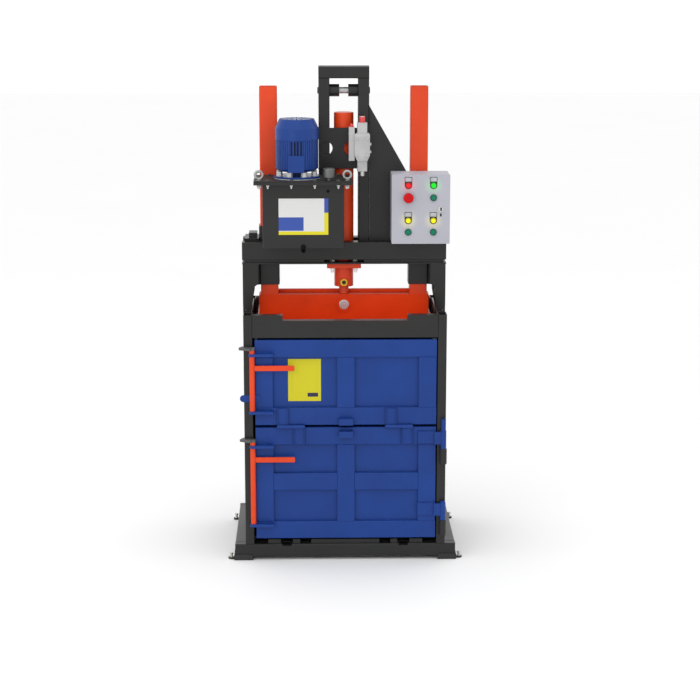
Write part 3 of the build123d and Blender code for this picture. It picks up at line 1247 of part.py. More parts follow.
def build_tank():
    """Oil tank with its rim and brackets, lid, bolts, lifting eyes, breather and drain plug."""
    rim_x = (TANK_LEFT - TANK_RIM_SIDE, TANK_RIGHT + TANK_RIM_SIDE)
    rim_y = (TANK_RIM_FRONT, HEAD_GAP_FRONT)
    inner_x = (TANK_LEFT + TANK_WALL, TANK_RIGHT - TANK_WALL)
    inner_y = (TANK_FRONT + TANK_WALL, TANK_BACK - TANK_WALL)
    with BuildPart() as tank_box:
        bar_up((TANK_LEFT, TANK_RIGHT), (TANK_FRONT, TANK_BACK), (HEAD_TOP, TANK_TOP), TANK_CORNER)
        bar_up(inner_x, inner_y, (HEAD_TOP + TANK_WALL, TANK_TOP), TANK_WALL, mode=Mode.SUBTRACT)
    with BuildPart() as tank_feet:
        for side in (TANK_LEFT + TANK_BRACKET_INSET, TANK_RIGHT - TANK_BRACKET_INSET):
            foot_x = (side - TANK_BRACKET_THICK / 2, side + TANK_BRACKET_THICK / 2)
            bar_up(foot_x, (TANK_BACK, HEAD_GAP_FRONT), (HEAD_TOP, HEAD_TOP + TANK_BRACKET_HEIGHT))
    with BuildPart() as tank_rim:
        bar_up(rim_x, rim_y, (TANK_TOP, LID_BOTTOM), TANK_LID_CORNER)
        bar_up(inner_x, inner_y, (TANK_TOP, LID_BOTTOM), TANK_WALL, mode=Mode.SUBTRACT)
        for place in lid_bolt_places():
            round_up(place, (TANK_TOP, LID_BOTTOM), LID_BOLT_RADIUS + FIT, mode=Mode.SUBTRACT)
        for place in eye_places():
            round_up(place, (TANK_TOP, LID_BOTTOM), EYE_SHANK_RADIUS + FIT, mode=Mode.SUBTRACT)
    save_welded((tank_box, tank_feet, tank_rim), "oil_tank")

    with BuildPart() as tank_lid:
        bar_up(rim_x, rim_y, (LID_BOTTOM, LID_TOP), TANK_LID_CORNER)
        for place in lid_bolt_places():
            round_up(place, (LID_BOTTOM, LID_TOP), LID_BOLT_RADIUS + FIT, mode=Mode.SUBTRACT)
        for place in eye_places():
            round_up(place, (LID_BOTTOM, LID_TOP), EYE_SHANK_RADIUS + FIT, mode=Mode.SUBTRACT)
        round_up((MOTOR_X, MOTOR_Y), (LID_BOTTOM, LID_TOP), LID_HOLE_RADIUS, mode=Mode.SUBTRACT)
    save(tank_lid, "tank_lid")

    nut_bottom = TANK_TOP - LID_BOLT_NUT_HEIGHT
    with BuildPart() as lid_bolts:
        for place in lid_bolt_places():
            round_up(place, (TANK_TOP - LID_BOLT_TAIL, LID_TOP), LID_BOLT_RADIUS)
            hex_up(place, (LID_TOP, LID_TOP + LID_BOLT_HEAD_HEIGHT), LID_BOLT_HEAD)
            hex_up(place, (nut_bottom, TANK_TOP), LID_BOLT_HEAD)
    save(lid_bolts, "lid_bolts")

    with BuildPart() as lifting_eyes:
        for place in eye_places():
            collar_top = LID_TOP + EYE_COLLAR_HEIGHT
            round_up(place, (TANK_TOP - EYE_NUT_HEIGHT, collar_top), EYE_SHANK_RADIUS)
            round_up(place, (LID_TOP, collar_top), EYE_COLLAR_RADIUS)
            hex_up(place, (TANK_TOP - EYE_NUT_HEIGHT, TANK_TOP), EYE_NUT_RADIUS)
            ring_z = collar_top + EYE_RING_RADIUS + EYE_WIRE_RADIUS / 2
            with BuildSketch(Plane.XY.offset(ring_z)) as wire:
                with Locations((place[0] + EYE_RING_RADIUS, place[1])):
                    Circle(EYE_WIRE_RADIUS)
            ring_axis = Axis((place[0], place[1], ring_z), (0, 1, 0))
            revolve(wire.sketch, axis=ring_axis)
    save(lifting_eyes, "lifting_eyes")

    breather_place = (TANK_RIGHT - BREATHER_INSET_X, TANK_FRONT + BREATHER_INSET_Y)
    cap_z = (LID_TOP + BREATHER_NECK_HEIGHT, LID_TOP + BREATHER_NECK_HEIGHT + BREATHER_HEIGHT)
    with BuildPart() as breather:
        round_up(breather_place, (LID_TOP, cap_z[1]), BREATHER_NECK_RADIUS)
        round_up(breather_place, cap_z, BREATHER_RADIUS)
        cap_rims = breather.edges().filter_by(GeomType.CIRCLE).group_by(SortBy.RADIUS)[-1]
        fillet(cap_rims, BREATHER_FILLET)
    save(breather, "breather")

    drain_place = (TANK_CENTRE, HEAD_TOP - DRAIN_DROP)
    with BuildPart() as drain_plug:
        with BuildSketch(Plane.XZ.offset(-TANK_FRONT)) as boss:
            with Locations(drain_place):
                SlotOverall(DRAIN_HEIGHT, DRAIN_WIDTH, rotation=90)
        extrude(boss.sketch, amount=DRAIN_LENGTH)
        bore_place = (TANK_CENTRE, drain_place[1] - DRAIN_BORE_DROP)
        bore_y = (TANK_FRONT - DRAIN_LENGTH, TANK_FRONT - DRAIN_LENGTH + DRAIN_BORE_DEPTH)
        round_back(bore_place, bore_y, DRAIN_BORE, mode=Mode.SUBTRACT)
    save(drain_plug, "drain_plug")


def build_motor():
    """Pump motor on the lid: grooved body, fan cover, rotor with its fan, and the pump below."""
    place = (MOTOR_X, MOTOR_Y)
    ring_z = (LID_TOP, LID_TOP + MOTOR_RING_THICK)
    flange_z = (ring_z[1], ring_z[1] + MOTOR_FLANGE_THICK)
    with BuildPart() as motor_body:
        round_up(place, ring_z, MOTOR_RING_RADIUS)
        round_up(place, flange_z, MOTOR_FLANGE_RADIUS)
        round_up(place, (flange_z[1], MOTOR_BODY_BOTTOM), MOTOR_NECK_RADIUS)
        with BuildSketch(Plane.XZ.offset(-MOTOR_Y)) as profile:
            with BuildLine():
                Polyline(
                    (MOTOR_X, MOTOR_BODY_BOTTOM),
                    (MOTOR_X + MOTOR_FOOT_RADIUS, MOTOR_BODY_BOTTOM),
                    (MOTOR_X + MOTOR_RADIUS, MOTOR_BODY_BOTTOM + MOTOR_FOOT_HEIGHT),
                    (MOTOR_X + MOTOR_RADIUS, MOTOR_BODY_TOP),
                    (MOTOR_X, MOTOR_BODY_TOP),
                    close=True,
                )
            make_face()
        revolve(profile.sketch, axis=Axis((MOTOR_X, MOTOR_Y, 0), (0, 0, 1)))
        with BuildSketch(Plane.XY.offset(MOTOR_BODY_BOTTOM)) as grooves:
            with Locations(place):
                with PolarLocations(MOTOR_RADIUS, MOTOR_GROOVES):
                    Rectangle(2 * MOTOR_GROOVE_DEPTH, MOTOR_GROOVE_WIDTH)
        extrude(grooves.sketch, amount=MOTOR_LENGTH, mode=Mode.SUBTRACT)
        pad_middle = MOTOR_X + TERMINAL_SHIFT
        pad_x = (pad_middle - TERMINAL_WIDTH / 2, pad_middle + TERMINAL_WIDTH / 2)
        pad_y = (MOTOR_Y - TERMINAL_REACH, MOTOR_Y - TERMINAL_REACH + TERMINAL_DEPTH)
        pad_top = MOTOR_BODY_BOTTOM + TERMINAL_HEIGHT
        bar_up(pad_x, pad_y, (MOTOR_BODY_BOTTOM, pad_top), TERMINAL_CORNER)
        vent_y = (MOTOR_Y - TERMINAL_REACH, MOTOR_Y - MOTOR_CORE_RADIUS)
        for shift in MOTOR_VENTS:
            vent_middle = MOTOR_X + shift
            vent_x = (vent_middle - MOTOR_VENT_WIDTH / 2, vent_middle + MOTOR_VENT_WIDTH / 2)
            bar_up(vent_x, vent_y, (pad_top, pad_top + MOTOR_VENT_HEIGHT), mode=Mode.SUBTRACT)
        shaft_z = (LID_TOP, MOTOR_BODY_TOP)
        round_up(place, shaft_z, SHAFT_RADIUS + FIT, mode=Mode.SUBTRACT)
    save(motor_body, "motor_body")

    cover_top = MOTOR_BODY_TOP + COVER_HEIGHT
    knee_z = cover_top - COVER_TAPER
    with BuildPart() as fan_cover:
        with BuildSketch(Plane.XZ.offset(-MOTOR_Y)) as profile:
            with BuildLine():
                Polyline(
                    (MOTOR_X + COVER_RADIUS - COVER_WALL, MOTOR_BODY_TOP),
                    (MOTOR_X + COVER_RADIUS, MOTOR_BODY_TOP),
                    (MOTOR_X + COVER_RADIUS, knee_z),
                    (MOTOR_X + COVER_TOP_RADIUS, cover_top),
                    (MOTOR_X, cover_top),
                    (MOTOR_X, cover_top - COVER_WALL),
                    (MOTOR_X + COVER_TOP_RADIUS - COVER_WALL, cover_top - COVER_WALL),
                    (MOTOR_X + COVER_RADIUS - COVER_WALL, knee_z),
                    close=True,
                )
            make_face()
        revolve(axis=Axis((MOTOR_X, MOTOR_Y, 0), (0, 0, 1)))
        with BuildSketch(Plane.XY.offset(cover_top - COVER_WALL)) as slots:
            with Locations(place):
                with PolarLocations((COVER_SLOT_START + COVER_SLOT_END) / 2, COVER_SLOTS):
                    Rectangle(COVER_SLOT_END - COVER_SLOT_START, COVER_SLOT_WIDTH)
        extrude(amount=COVER_WALL, mode=Mode.SUBTRACT)
        lip_z = (MOTOR_BODY_TOP, MOTOR_BODY_TOP + COVER_WALL)
        round_up(place, lip_z, COVER_RADIUS - COVER_WALL / 2)
        round_up(place, lip_z, MOTOR_CORE_RADIUS - COVER_LIP, mode=Mode.SUBTRACT)
    save(fan_cover, "fan_cover")

    fan_z = (MOTOR_BODY_TOP + FAN_LIFT, MOTOR_BODY_TOP + FAN_LIFT + FAN_HEIGHT)
    with BuildPart() as motor_rotor:
        round_up(place, (LID_BOTTOM - PUMP_SHAFT_DEPTH, fan_z[1]), SHAFT_RADIUS)
        round_up(place, fan_z, FAN_HUB_RADIUS)
        round_up(place, (fan_z[0], fan_z[0] + FAN_BACK), FAN_RADIUS)
        with BuildSketch(Plane.XY.offset(fan_z[0])) as blades:
            with Locations(place):
                with PolarLocations(FAN_HUB_RADIUS - WELD_LAP, FAN_BLADES):
                    blade_length = FAN_RADIUS - FAN_HUB_RADIUS + WELD_LAP
                    Rectangle(blade_length, FAN_BLADE_THICK, align=(Align.MIN, Align.CENTER))
        extrude(amount=FAN_HEIGHT)
    save(motor_rotor, "motor_rotor")

    bell_z = (LID_BOTTOM - PUMP_BELL_HEIGHT, LID_BOTTOM)
    pump_z = (bell_z[0] - PUMP_HEIGHT, bell_z[0])
    strainer_z = (HEAD_TOP + STRAINER_CLEARANCE, HEAD_TOP + STRAINER_CLEARANCE + STRAINER_HEIGHT)
    with BuildPart() as oil_pump:
        round_up(place, bell_z, PUMP_BELL_RADIUS)
        pump_x = (MOTOR_X - PUMP_SIZE / 2, MOTOR_X + PUMP_SIZE / 2)
        pump_y = (MOTOR_Y - PUMP_SIZE / 2, MOTOR_Y + PUMP_SIZE / 2)
        bar_up(pump_x, pump_y, pump_z, PUMP_CORNER)
        round_up(place, (strainer_z[0], pump_z[0]), SUCTION_RADIUS)
        round_up(place, strainer_z, STRAINER_RADIUS)
        bore_z = (LID_BOTTOM - PUMP_SHAFT_DEPTH - PUMP_BORE_END, LID_BOTTOM)
        round_up(place, bore_z, SHAFT_RADIUS + FIT, mode=Mode.SUBTRACT)
    save(oil_pump, "oil_pump")


# Control cabinet

def build_cabinet():
    """Cabinet box, its switchgear and its door with holes for lamps, buttons and lock."""
    box_x = (CABINET_LEFT, CABINET_RIGHT)
    box_z = (CABINET_BOTTOM, CABINET_TOP)
    inner_x = (box_x[0] + CABINET_WALL, box_x[1] - CABINET_WALL)
    inner_z = (box_z[0] + CABINET_WALL, box_z[1] - CABINET_WALL)
    inner_back = CABINET_BACK - CABINET_WALL
    with BuildPart() as cabinet_box:
        bar_back(box_x, (CABINET_MOUTH, CABINET_BACK), box_z, CABINET_CORNER)
        inner_corner = CABINET_CORNER - CABINET_WALL
        bar_back(inner_x, (CABINET_MOUTH, inner_back), inner_z, inner_corner, mode=Mode.SUBTRACT)
    save(cabinet_box, "cabinet_box")

    plate_y = (inner_back - GEAR_PLATE_THICK, inner_back)
    rail_y = (plate_y[0] - GEAR_RAIL_THICK, plate_y[0])
    block_y = (rail_y[0] - GEAR_BLOCK_DEPTH, rail_y[0])
    with BuildPart() as switchgear:
        plate_x = (inner_x[0] + GEAR_PLATE_INSET, inner_x[1] - GEAR_PLATE_INSET)
        plate_z = (inner_z[0] + GEAR_PLATE_INSET, inner_z[1] - GEAR_PLATE_INSET)
        bar_up(plate_x, plate_y, plate_z)
        for part_way in GEAR_ROWS:
            middle = inner_z[0] + part_way * (inner_z[1] - inner_z[0])
            rail_z = (middle - GEAR_RAIL_HEIGHT / 2, middle + GEAR_RAIL_HEIGHT / 2)
            bar_across(plate_x, rail_y, rail_z)
            for step in (-1, 0, 1):
                block_middle = GUIDE_SPREAD + step * (GEAR_BLOCK_WIDTH + GEAR_BLOCK_STEP)
                block_x = (block_middle - GEAR_BLOCK_WIDTH / 2, block_middle + GEAR_BLOCK_WIDTH / 2)
                block_z = (middle - GEAR_BLOCK_HEIGHT / 2, middle + GEAR_BLOCK_HEIGHT / 2)
                bar_up(block_x, block_y, block_z)
    save(switchgear, "switchgear")

    door_y = (CABINET_FRONT, CABINET_FRONT + CABINET_DOOR_DEPTH)
    with BuildPart() as cabinet_door:
        bar_back(box_x, door_y, box_z, CABINET_CORNER)
        bar_back(inner_x, (CABINET_DOOR_IN, door_y[1]), inner_z, inner_corner, mode=Mode.SUBTRACT)
        skin_y = (CABINET_FRONT, CABINET_DOOR_IN)
        for place in lamp_places() + button_places() + [stop_place()]:
            round_back(place, skin_y, LAMP_RADIUS + FIT, mode=Mode.SUBTRACT)
        round_back(lock_place(), skin_y, LOCK_RADIUS + FIT, mode=Mode.SUBTRACT)
    save(cabinet_door, "cabinet_door")


def lamp_places():
    """Places (x, z) of the four lamps."""
    sides = (GUIDE_SPREAD - CONTROL_SPREAD, GUIDE_SPREAD + CONTROL_SPREAD)
    return [(x, CABINET_BOTTOM + rise) for rise in LAMP_ROWS for x in sides]


def button_places():
    """Places (x, z) of the three push buttons: one beside the stop, two below the lamps."""
    left = GUIDE_SPREAD - CONTROL_SPREAD
    right = GUIDE_SPREAD + CONTROL_SPREAD
    upper, lower = (CABINET_BOTTOM + rise for rise in BUTTON_ROWS)
    return [(right, upper), (left, lower), (right, lower)]


def stop_place():
    """Place (x, z) of the emergency stop."""
    return GUIDE_SPREAD - CONTROL_SPREAD, CABINET_BOTTOM + BUTTON_ROWS[0]


def lock_place():
    """Place (x, z) of the cabinet's lock."""
    return GUIDE_SPREAD + LOCK_SHIFT_X, CABINET_BOTTOM + LOCK_RISE


def build_controls():
    """Lamps, button bezels, push buttons, the emergency stop and the lock."""
    with BuildPart() as indicator_lamps:
        for place in lamp_places():
            round_back(place, (CABINET_FRONT, CABINET_FRONT + LAMP_BODY_DEPTH), LAMP_RADIUS)
            round_back(place, (CABINET_FRONT - LAMP_BEZEL_THICK, CABINET_FRONT), LAMP_BEZEL_RADIUS)
            lens_front = CABINET_FRONT - LAMP_BEZEL_THICK - LAMP_LENS_HEIGHT
            round_back(place, (lens_front, CABINET_FRONT - LAMP_BEZEL_THICK), LAMP_LENS_RADIUS)
    save(indicator_lamps, "indicator_lamps")

    bezel_y = (CABINET_FRONT - BUTTON_BEZEL_HEIGHT, CABINET_FRONT)
    with BuildPart() as button_bezels:
        for place in button_places() + [stop_place()]:
            round_back(place, (CABINET_FRONT, CABINET_FRONT + BUTTON_NECK_DEPTH), LAMP_RADIUS)
            round_back(place, bezel_y, LAMP_BEZEL_RADIUS)
            cup_y = (bezel_y[0], CABINET_FRONT - BUTTON_SEAT)
            round_back(place, cup_y, BUTTON_RADIUS + BUTTON_PLAY, mode=Mode.SUBTRACT)
            neck_y = (bezel_y[0], CABINET_FRONT + BUTTON_NECK_DEPTH)
            round_back(place, neck_y, BUTTON_STEM_RADIUS + FIT, mode=Mode.SUBTRACT)
    save(button_bezels, "button_bezels")

    cap_back = CABINET_FRONT - BUTTON_SEAT - BUTTON_TRAVEL - BUTTON_PLAY
    stem_y = (cap_back, cap_back + BUTTON_STEM_DEPTH)
    for node, place in zip(("start_button", "raise_button", "lower_button"), button_places()):
        with BuildPart() as push_button:
            round_back(place, (cap_back - BUTTON_CAP_THICK, cap_back), BUTTON_RADIUS)
            chamfer(push_button.edges().sort_by(Axis.Y)[0], BUTTON_CHAMFER)
            round_back(place, stem_y, BUTTON_STEM_RADIUS)
        save(push_button, node)

    cap_near = bezel_y[0] - STOP_TRAVEL - BUTTON_PLAY
    with BuildPart() as emergency_stop:
        round_back(stop_place(), (cap_near - STOP_CAP_HEIGHT, cap_near), STOP_CAP_RADIUS)
        fillet(emergency_stop.edges().sort_by(Axis.Y)[0], STOP_CAP_FILLET)
        round_back(stop_place(), (cap_near, cap_back + BUTTON_STEM_DEPTH), BUTTON_STEM_RADIUS)
    save(emergency_stop, "emergency_stop")

    with BuildPart() as cabinet_lock:
        flange_y = (CABINET_FRONT - LOCK_FLANGE_THICK, CABINET_FRONT)
        body_y = (CABINET_FRONT, CABINET_FRONT + LOCK_BODY_DEPTH)
        round_back(lock_place(), flange_y, LOCK_FLANGE_RADIUS)
        round_back(lock_place(), body_y, LOCK_RADIUS)
        tongue_y = (body_y[1], body_y[1] + LOCK_TONGUE_THICK)
        tongue_x = (lock_place()[0] - LOCK_TONGUE_WIDTH / 2, lock_place()[0] + LOCK_TONGUE_WIDTH / 2)
        tongue_z = (lock_place()[1] - LOCK_TONGUE_WIDTH / 2, lock_place()[1] + LOCK_TONGUE_LENGTH)
        bar_up(tongue_x, tongue_y, tongue_z)
    save(cabinet_lock, "cabinet_lock")


os.makedirs("parts", exist_ok=True)
build_base()
build_pads()
build_chamber()
build_columns()
build_door()
build_flap()
build_door_hinges()
build_fittings()
build_latch("lower", DOOR_BOTTOM, LOWER_LUGS, LOWER_HANDLE_RISE, lower_cam_z())
build_latch("upper", FLAP_BOTTOM, UPPER_LUGS, UPPER_HANDLE_RISE, upper_cam_z())
build_head()
build_cylinder()
build_platen()
build_yoke()
build_valve()
build_tank()
build_motor()
build_cabinet()
build_controls()
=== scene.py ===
from math import atan2, cos, pi, radians, sin

import bmesh
import bpy
from mathutils import Matrix, Vector


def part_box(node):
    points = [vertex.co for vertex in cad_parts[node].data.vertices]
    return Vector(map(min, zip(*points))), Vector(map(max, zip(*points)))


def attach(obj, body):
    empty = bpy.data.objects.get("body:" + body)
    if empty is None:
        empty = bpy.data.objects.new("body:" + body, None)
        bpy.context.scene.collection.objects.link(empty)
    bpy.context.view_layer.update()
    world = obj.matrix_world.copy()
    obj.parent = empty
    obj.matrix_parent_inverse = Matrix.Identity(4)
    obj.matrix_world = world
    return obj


# Looks of a vertical recycling baler: finishes for the CAD nodes, and the small pieces that ride on
# them. Lengths are metres. X runs to the right, Y to the back, Z up, and the front faces -Y.

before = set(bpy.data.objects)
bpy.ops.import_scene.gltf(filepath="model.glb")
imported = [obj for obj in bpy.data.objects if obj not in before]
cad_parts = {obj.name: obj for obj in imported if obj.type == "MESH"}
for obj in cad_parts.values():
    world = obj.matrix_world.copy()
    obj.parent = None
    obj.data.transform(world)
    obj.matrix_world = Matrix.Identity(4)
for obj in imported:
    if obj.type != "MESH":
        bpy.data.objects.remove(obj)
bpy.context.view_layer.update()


# Shader sockets in Python expressions

COLOUR_A, COLOUR_B, COLOUR_RESULT = 6, 7, 2     # a Mix node gives several sockets the same name


class Signal:
    """One output of a shader node, so that maths on it is written as a Python expression."""

    def __init__(self, finish, socket):
        self.finish = finish
        self.socket = socket

    def math(self, operation, *operands):
        """A Math node on the given operands, which are signals or numbers."""
        return self.finish.node("ShaderNodeMath", {"operation": operation}, operands)

    def __add__(self, other):
        return self.math("ADD", self, other)

    def __sub__(self, other):
        return self.math("SUBTRACT", self, other)

    def __rsub__(self, other):
        return self.math("SUBTRACT", other, self)

    def __mul__(self, other):
        return self.math("MULTIPLY", self, other)

    def __pow__(self, other):
        return self.math("POWER", self, other)

    def __abs__(self):
        return self.math("ABSOLUTE", self)

    def __lt__(self, other):
        return self.math("LESS_THAN", self, other)

    def __gt__(self, other):
        return self.math("GREATER_THAN", self, other)

    __radd__, __rmul__ = __add__, __mul__

    def ramp(self, low, high):
        """0 below low, 1 above high, and smooth between them."""
        settings = {"interpolation_type": "SMOOTHSTEP", "clamp": True}
        return self.finish.node("ShaderNodeMapRange", settings, (self, low, high, 0.0, 1.0))


class Finish:
    """A procedural material around one Principled shader."""

    def __init__(self, name, **constants):
        self.material = bpy.data.materials.new(name)
        self.material.use_nodes = True
        self.tree = self.material.node_tree
        self.shader = self.tree.nodes["Principled BSDF"]
        for socket, value in constants.items():
            self.set(socket.replace("_", " ").title().replace("Ior", "IOR"), value)
        self.object_space = self.node("ShaderNodeTexCoord", {}, (), "Object")

    def node(self, kind, settings, inputs, output=0):
        """Adds a node with its settings, then its input values or links, and gives one output."""
        made = self.tree.nodes.new(kind)
        for name, value in settings.items():
            setattr(made, name, value)
        for key, value in inputs.items() if isinstance(inputs, dict) else enumerate(inputs):
            self.feed(made.inputs[key], value)
        return Signal(self, made.outputs[output])

    def feed(self, socket, value):
        """Links a signal to a socket, or sets a number or a colour on it."""
        if isinstance(value, Signal):
            self.tree.links.new(value.socket, socket)
        elif isinstance(value, tuple) and socket.type == "RGBA":
            socket.default_value = (*value, 1.0)
        else:
            socket.default_value = value

    def set(self, socket, value):
        """Sets or links one input of the shader."""
        self.feed(self.shader.inputs[socket], value)

    def noise(self, scale, detail=3.0, roughness=0.5, stretch=None):
        """Noise in object space, stretched by the given factors."""
        place = self.object_space
        if stretch:
            place = self.node("ShaderNodeMapping", {}, {"Vector": place, "Scale": stretch})
        inputs = {"Vector": place, "Scale": scale, "Detail": detail, "Roughness": roughness}
        return self.node("ShaderNodeTexNoise", {}, inputs, "Fac")

    def axes(self):
        """The three coordinates in metres."""
        return [self.node("ShaderNodeSeparateXYZ", {}, (self.object_space,), name) for name in "XYZ"]

    def mix(self, share, first, second):
        """Blends two colours by a share from 0 to 1."""
        inputs = {"Factor": share, COLOUR_A: first, COLOUR_B: second}
        return self.node("ShaderNodeMix", {"data_type": "RGBA"}, inputs, COLOUR_RESULT)

    def wander(self, share, colour, low, high):
        """A colour that moves between two shades of itself."""
        return self.mix(share, shade(colour, low), shade(colour, high))

    def soft_edges(self, radius):
        """A normal that rounds sharp edges by a small radius."""
        return self.node("ShaderNodeBevel", {"samples": 4}, (radius,))

    def edge_mask(self, radius):
        """About 1 on sharp outer and inner edges, 0 on flats."""
        flat = self.node("ShaderNodeNewGeometry", {}, (), "Normal")
        inputs = (self.soft_edges(radius), flat)
        along = self.node("ShaderNodeVectorMath", {"operation": "DOT_PRODUCT"}, inputs, "Value")
        return (1.0 - along).ramp(0.02, 0.20)

    def bump(self, height, distance, strength, normal=None):
        """Feeds the shader's normal from a height in 0 to 1."""
        inputs = {"Height": height, "Distance": distance, "Strength": strength}
        if normal is not None:
            inputs["Normal"] = normal
        self.set("Normal", self.node("ShaderNodeBump", {}, inputs))


def shade(colour, factor):
    """A darker or lighter version of a colour."""
    return tuple(min(1.0, value * factor) for value in colour)


# Finishes

PAINT_ROUND = 0.0016    # radius of an edge under paint, and of a bare one
METAL_ROUND = 0.0008
PEEL_SCALE = 420.0
MARK_DEPTH = 0.0002


def enamel(name, colour, gloss, level=0.4, wear=0.35, bare=(0.16, 0.16, 0.16)):
    """Sprayed enamel on steel: orange peel, slight unevenness, dust, and rubbed edges."""
    finish = Finish(name, specular_ior_level=level)
    cloud = finish.noise(2.2, 4.0, 0.6)
    patch = finish.noise(11.0, 3.0, 0.55)
    coat = finish.wander((cloud * 0.65 + patch * 0.35).ramp(0.3, 0.7), colour, 0.90, 1.10)
    speck = finish.noise(140.0, 2.0, 0.6).ramp(0.66, 0.74)
    rubbed = finish.edge_mask(0.0022) * finish.noise(60.0, 4.0, 0.7).ramp(0.46, 0.62) * wear
    coat = finish.mix(speck * 0.10, coat, shade(colour, 1.6))
    finish.set("Base Color", finish.mix(rubbed, coat, bare))
    finish.set("Roughness", gloss + (patch - 0.5) * 0.10 + speck * 0.08 + rubbed * 0.15)
    peel = finish.noise(PEEL_SCALE, 2.0, 0.5)
    finish.bump(peel, 0.00025, 0.12, finish.soft_edges(PAINT_ROUND))
    return finish.material


def scuffed_enamel(name, colour, gloss, wall, back, steel=(0.34, 0.34, 0.33)):
    """Enamel whose chamber side is scraped down to the steel by what is pressed there."""
    finish = Finish(name, specular_ior_level=0.4)
    x, y, z = finish.axes()
    inside = (abs(x) < wall) * (y < back) * (y > -back) * z.ramp(0.06, 0.20)
    streaks = finish.noise(16.0, 6.0, 0.65, (1.0, 1.0, 0.12)).ramp(0.47, 0.60)
    fine = finish.noise(90.0, 4.0, 0.7, (1.0, 1.0, 0.05)).ramp(0.50, 0.62)
    scraped = inside * (streaks * 0.65 + fine * 0.35) * 0.75
    cloud = finish.noise(3.0, 4.0, 0.6)
    coat = finish.wander(cloud.ramp(0.35, 0.65), colour, 0.85, 1.15)
    finish.set("Base Color", finish.mix(scraped, coat, steel))
    finish.set("Metallic", scraped * 0.8)
    finish.set("Roughness", gloss + scraped * 0.08 + (cloud - 0.5) * 0.1)
    peel = finish.noise(PEEL_SCALE)
    finish.bump(fine * 0.6 + peel * 0.4, 0.0003, 0.15, finish.soft_edges(PAINT_ROUND))
    return finish.material


def bright_metal(name, colour, gloss, stretch=None, scale=180.0, depth=0.10):
    """Bare or plated metal with fine marks, drawn out along one axis where it is turned or brushed."""
    finish = Finish(name, metallic=1.0)
    marks = finish.noise(scale, 5.0, 0.65, stretch)
    stain = finish.noise(9.0, 4.0, 0.6).ramp(0.35, 0.75)
    finish.set("Base Color", finish.wander(stain * 0.5, colour, 1.0, 0.72))
    finish.set("Roughness", gloss + marks * 0.16 + stain * 0.06)
    finish.bump(marks, MARK_DEPTH, depth, finish.soft_edges(METAL_ROUND))
    return finish.material


def moulded(name, colour, gloss, texture=260.0, depth=0.12, level=0.5):
    """Moulded plastic or rubber with a fine spark-eroded grain."""
    finish = Finish(name, specular_ior_level=level)
    grain = finish.noise(texture * 4.0, 2.0, 0.5)
    cloud = finish.noise(18.0, 3.0, 0.5)
    finish.set("Base Color", finish.wander(cloud.ramp(0.3, 0.7), colour, 0.9, 1.12))
    finish.set("Roughness", gloss + grain * 0.12)
    finish.bump(grain, MARK_DEPTH, depth, finish.soft_edges(METAL_ROUND))
    return finish.material


def cast_metal(name, colour, gloss):
    """Sand-cast body under silver paint, with a coarse skin."""
    finish = Finish(name, metallic=0.35)
    skin = finish.noise(150.0, 5.0, 0.6)
    cloud = finish.noise(14.0, 3.0, 0.5)
    rubbed = finish.edge_mask(0.0015)
    coat = finish.wander(cloud.ramp(0.3, 0.7), colour, 0.9, 1.06)
    finish.set("Base Color", finish.mix(rubbed * 0.5, coat, shade(colour, 1.3)))
    finish.set("Roughness", gloss + skin * 0.14)
    finish.bump(skin, 0.0006, 0.25, finish.soft_edges(0.0012))
    return finish.material


def pressed_sheet(name, colour, gloss, lamps=()):
    """Textured powder coat of a sheet-steel cabinet, with a painted glow of the lamps' light on its
    front.
    """
    finish = Finish(name, specular_ior_level=0.4)
    inputs = {"Vector": finish.object_space, "Scale": 700.0}
    grain = finish.node("ShaderNodeTexVoronoi", {}, inputs, "Distance")
    cloud = finish.noise(4.0, 3.0, 0.5)
    finish.set("Base Color", finish.wander(cloud.ramp(0.3, 0.7), colour, 0.96, 1.03))
    finish.set("Roughness", gloss + (cloud - 0.5) * 0.08)
    finish.bump(grain, 0.0003, 0.12, finish.soft_edges(0.0022))
    # Painted light: an emissive glow round each lamp on the door's front stands in for the light that
    # the lamps throw on it.
    if lamps:
        finish.set("Emission Strength", 1.0)
        x, y, z = finish.axes()
        light = (0.0, 0.0, 0.0)
        for _, lamp_x, lamp_z, glow in lamps:
            distance = ((x - lamp_x) * (x - lamp_x) + (z - lamp_z) * (z - lamp_z)) ** 0.5
            halo = (1.0 - distance.ramp(HALO_START, HALO_END)) * (y < cab_front + HALO_DEEP)
            light = finish.mix(halo * halo * HALO_STRENGTH, light, glow)
        finish.set("Emission Color", light)
    return finish.material


def rod_chrome(name, paint, seam):
    """Hard chrome above the painted rod end, which ends at the height of the seam."""
    finish = Finish(name, specular_ior_level=0.5)
    z = finish.axes()[2]
    chrome = z.ramp(seam - 0.0004, seam + 0.0004)
    marks = finish.noise(240.0, 4.0, 0.6, (1.0, 1.0, 0.04))
    finish.set("Base Color", finish.mix(chrome, paint, (0.78, 0.79, 0.80)))
    finish.set("Metallic", chrome)
    finish.set("Roughness", 0.36 - chrome * 0.26 + marks * 0.05)
    finish.bump(marks, 0.0001, 0.05, finish.soft_edges(0.001))
    return finish.material


def lit_lens(name, colour, lamp_x, lamp_z, radius, collar_front):
    """Lamp lens lit from behind: a bright core, a darker rim, and a strong glow from its collar."""
    finish = Finish(name, roughness=0.30, specular_ior_level=0.25, emission_strength=6.0)
    x, y, z = finish.axes()
    across = abs(abs(x - sum(lamp_x) / 2) - abs(lamp_x[1] - lamp_x[0]) / 2)
    upward = abs(abs(z - sum(lamp_z) / 2) - abs(lamp_z[1] - lamp_z[0]) / 2)
    rim = ((across * across + upward * upward) ** 0.5).ramp(radius * 0.25, radius * 0.92)
    ribs = finish.noise(900.0, 1.0, 0.4)
    finish.set("Base Color", finish.wander(ribs * 0.4, colour, 0.20, 0.15))
    face_glow = finish.wander(rim, colour, 0.30, 0.04)
    finish.set("Emission Color", finish.mix(y > collar_front, face_glow, shade(colour, 0.22)))
    finish.bump(ribs, MARK_DEPTH, 0.1)
    return finish.material


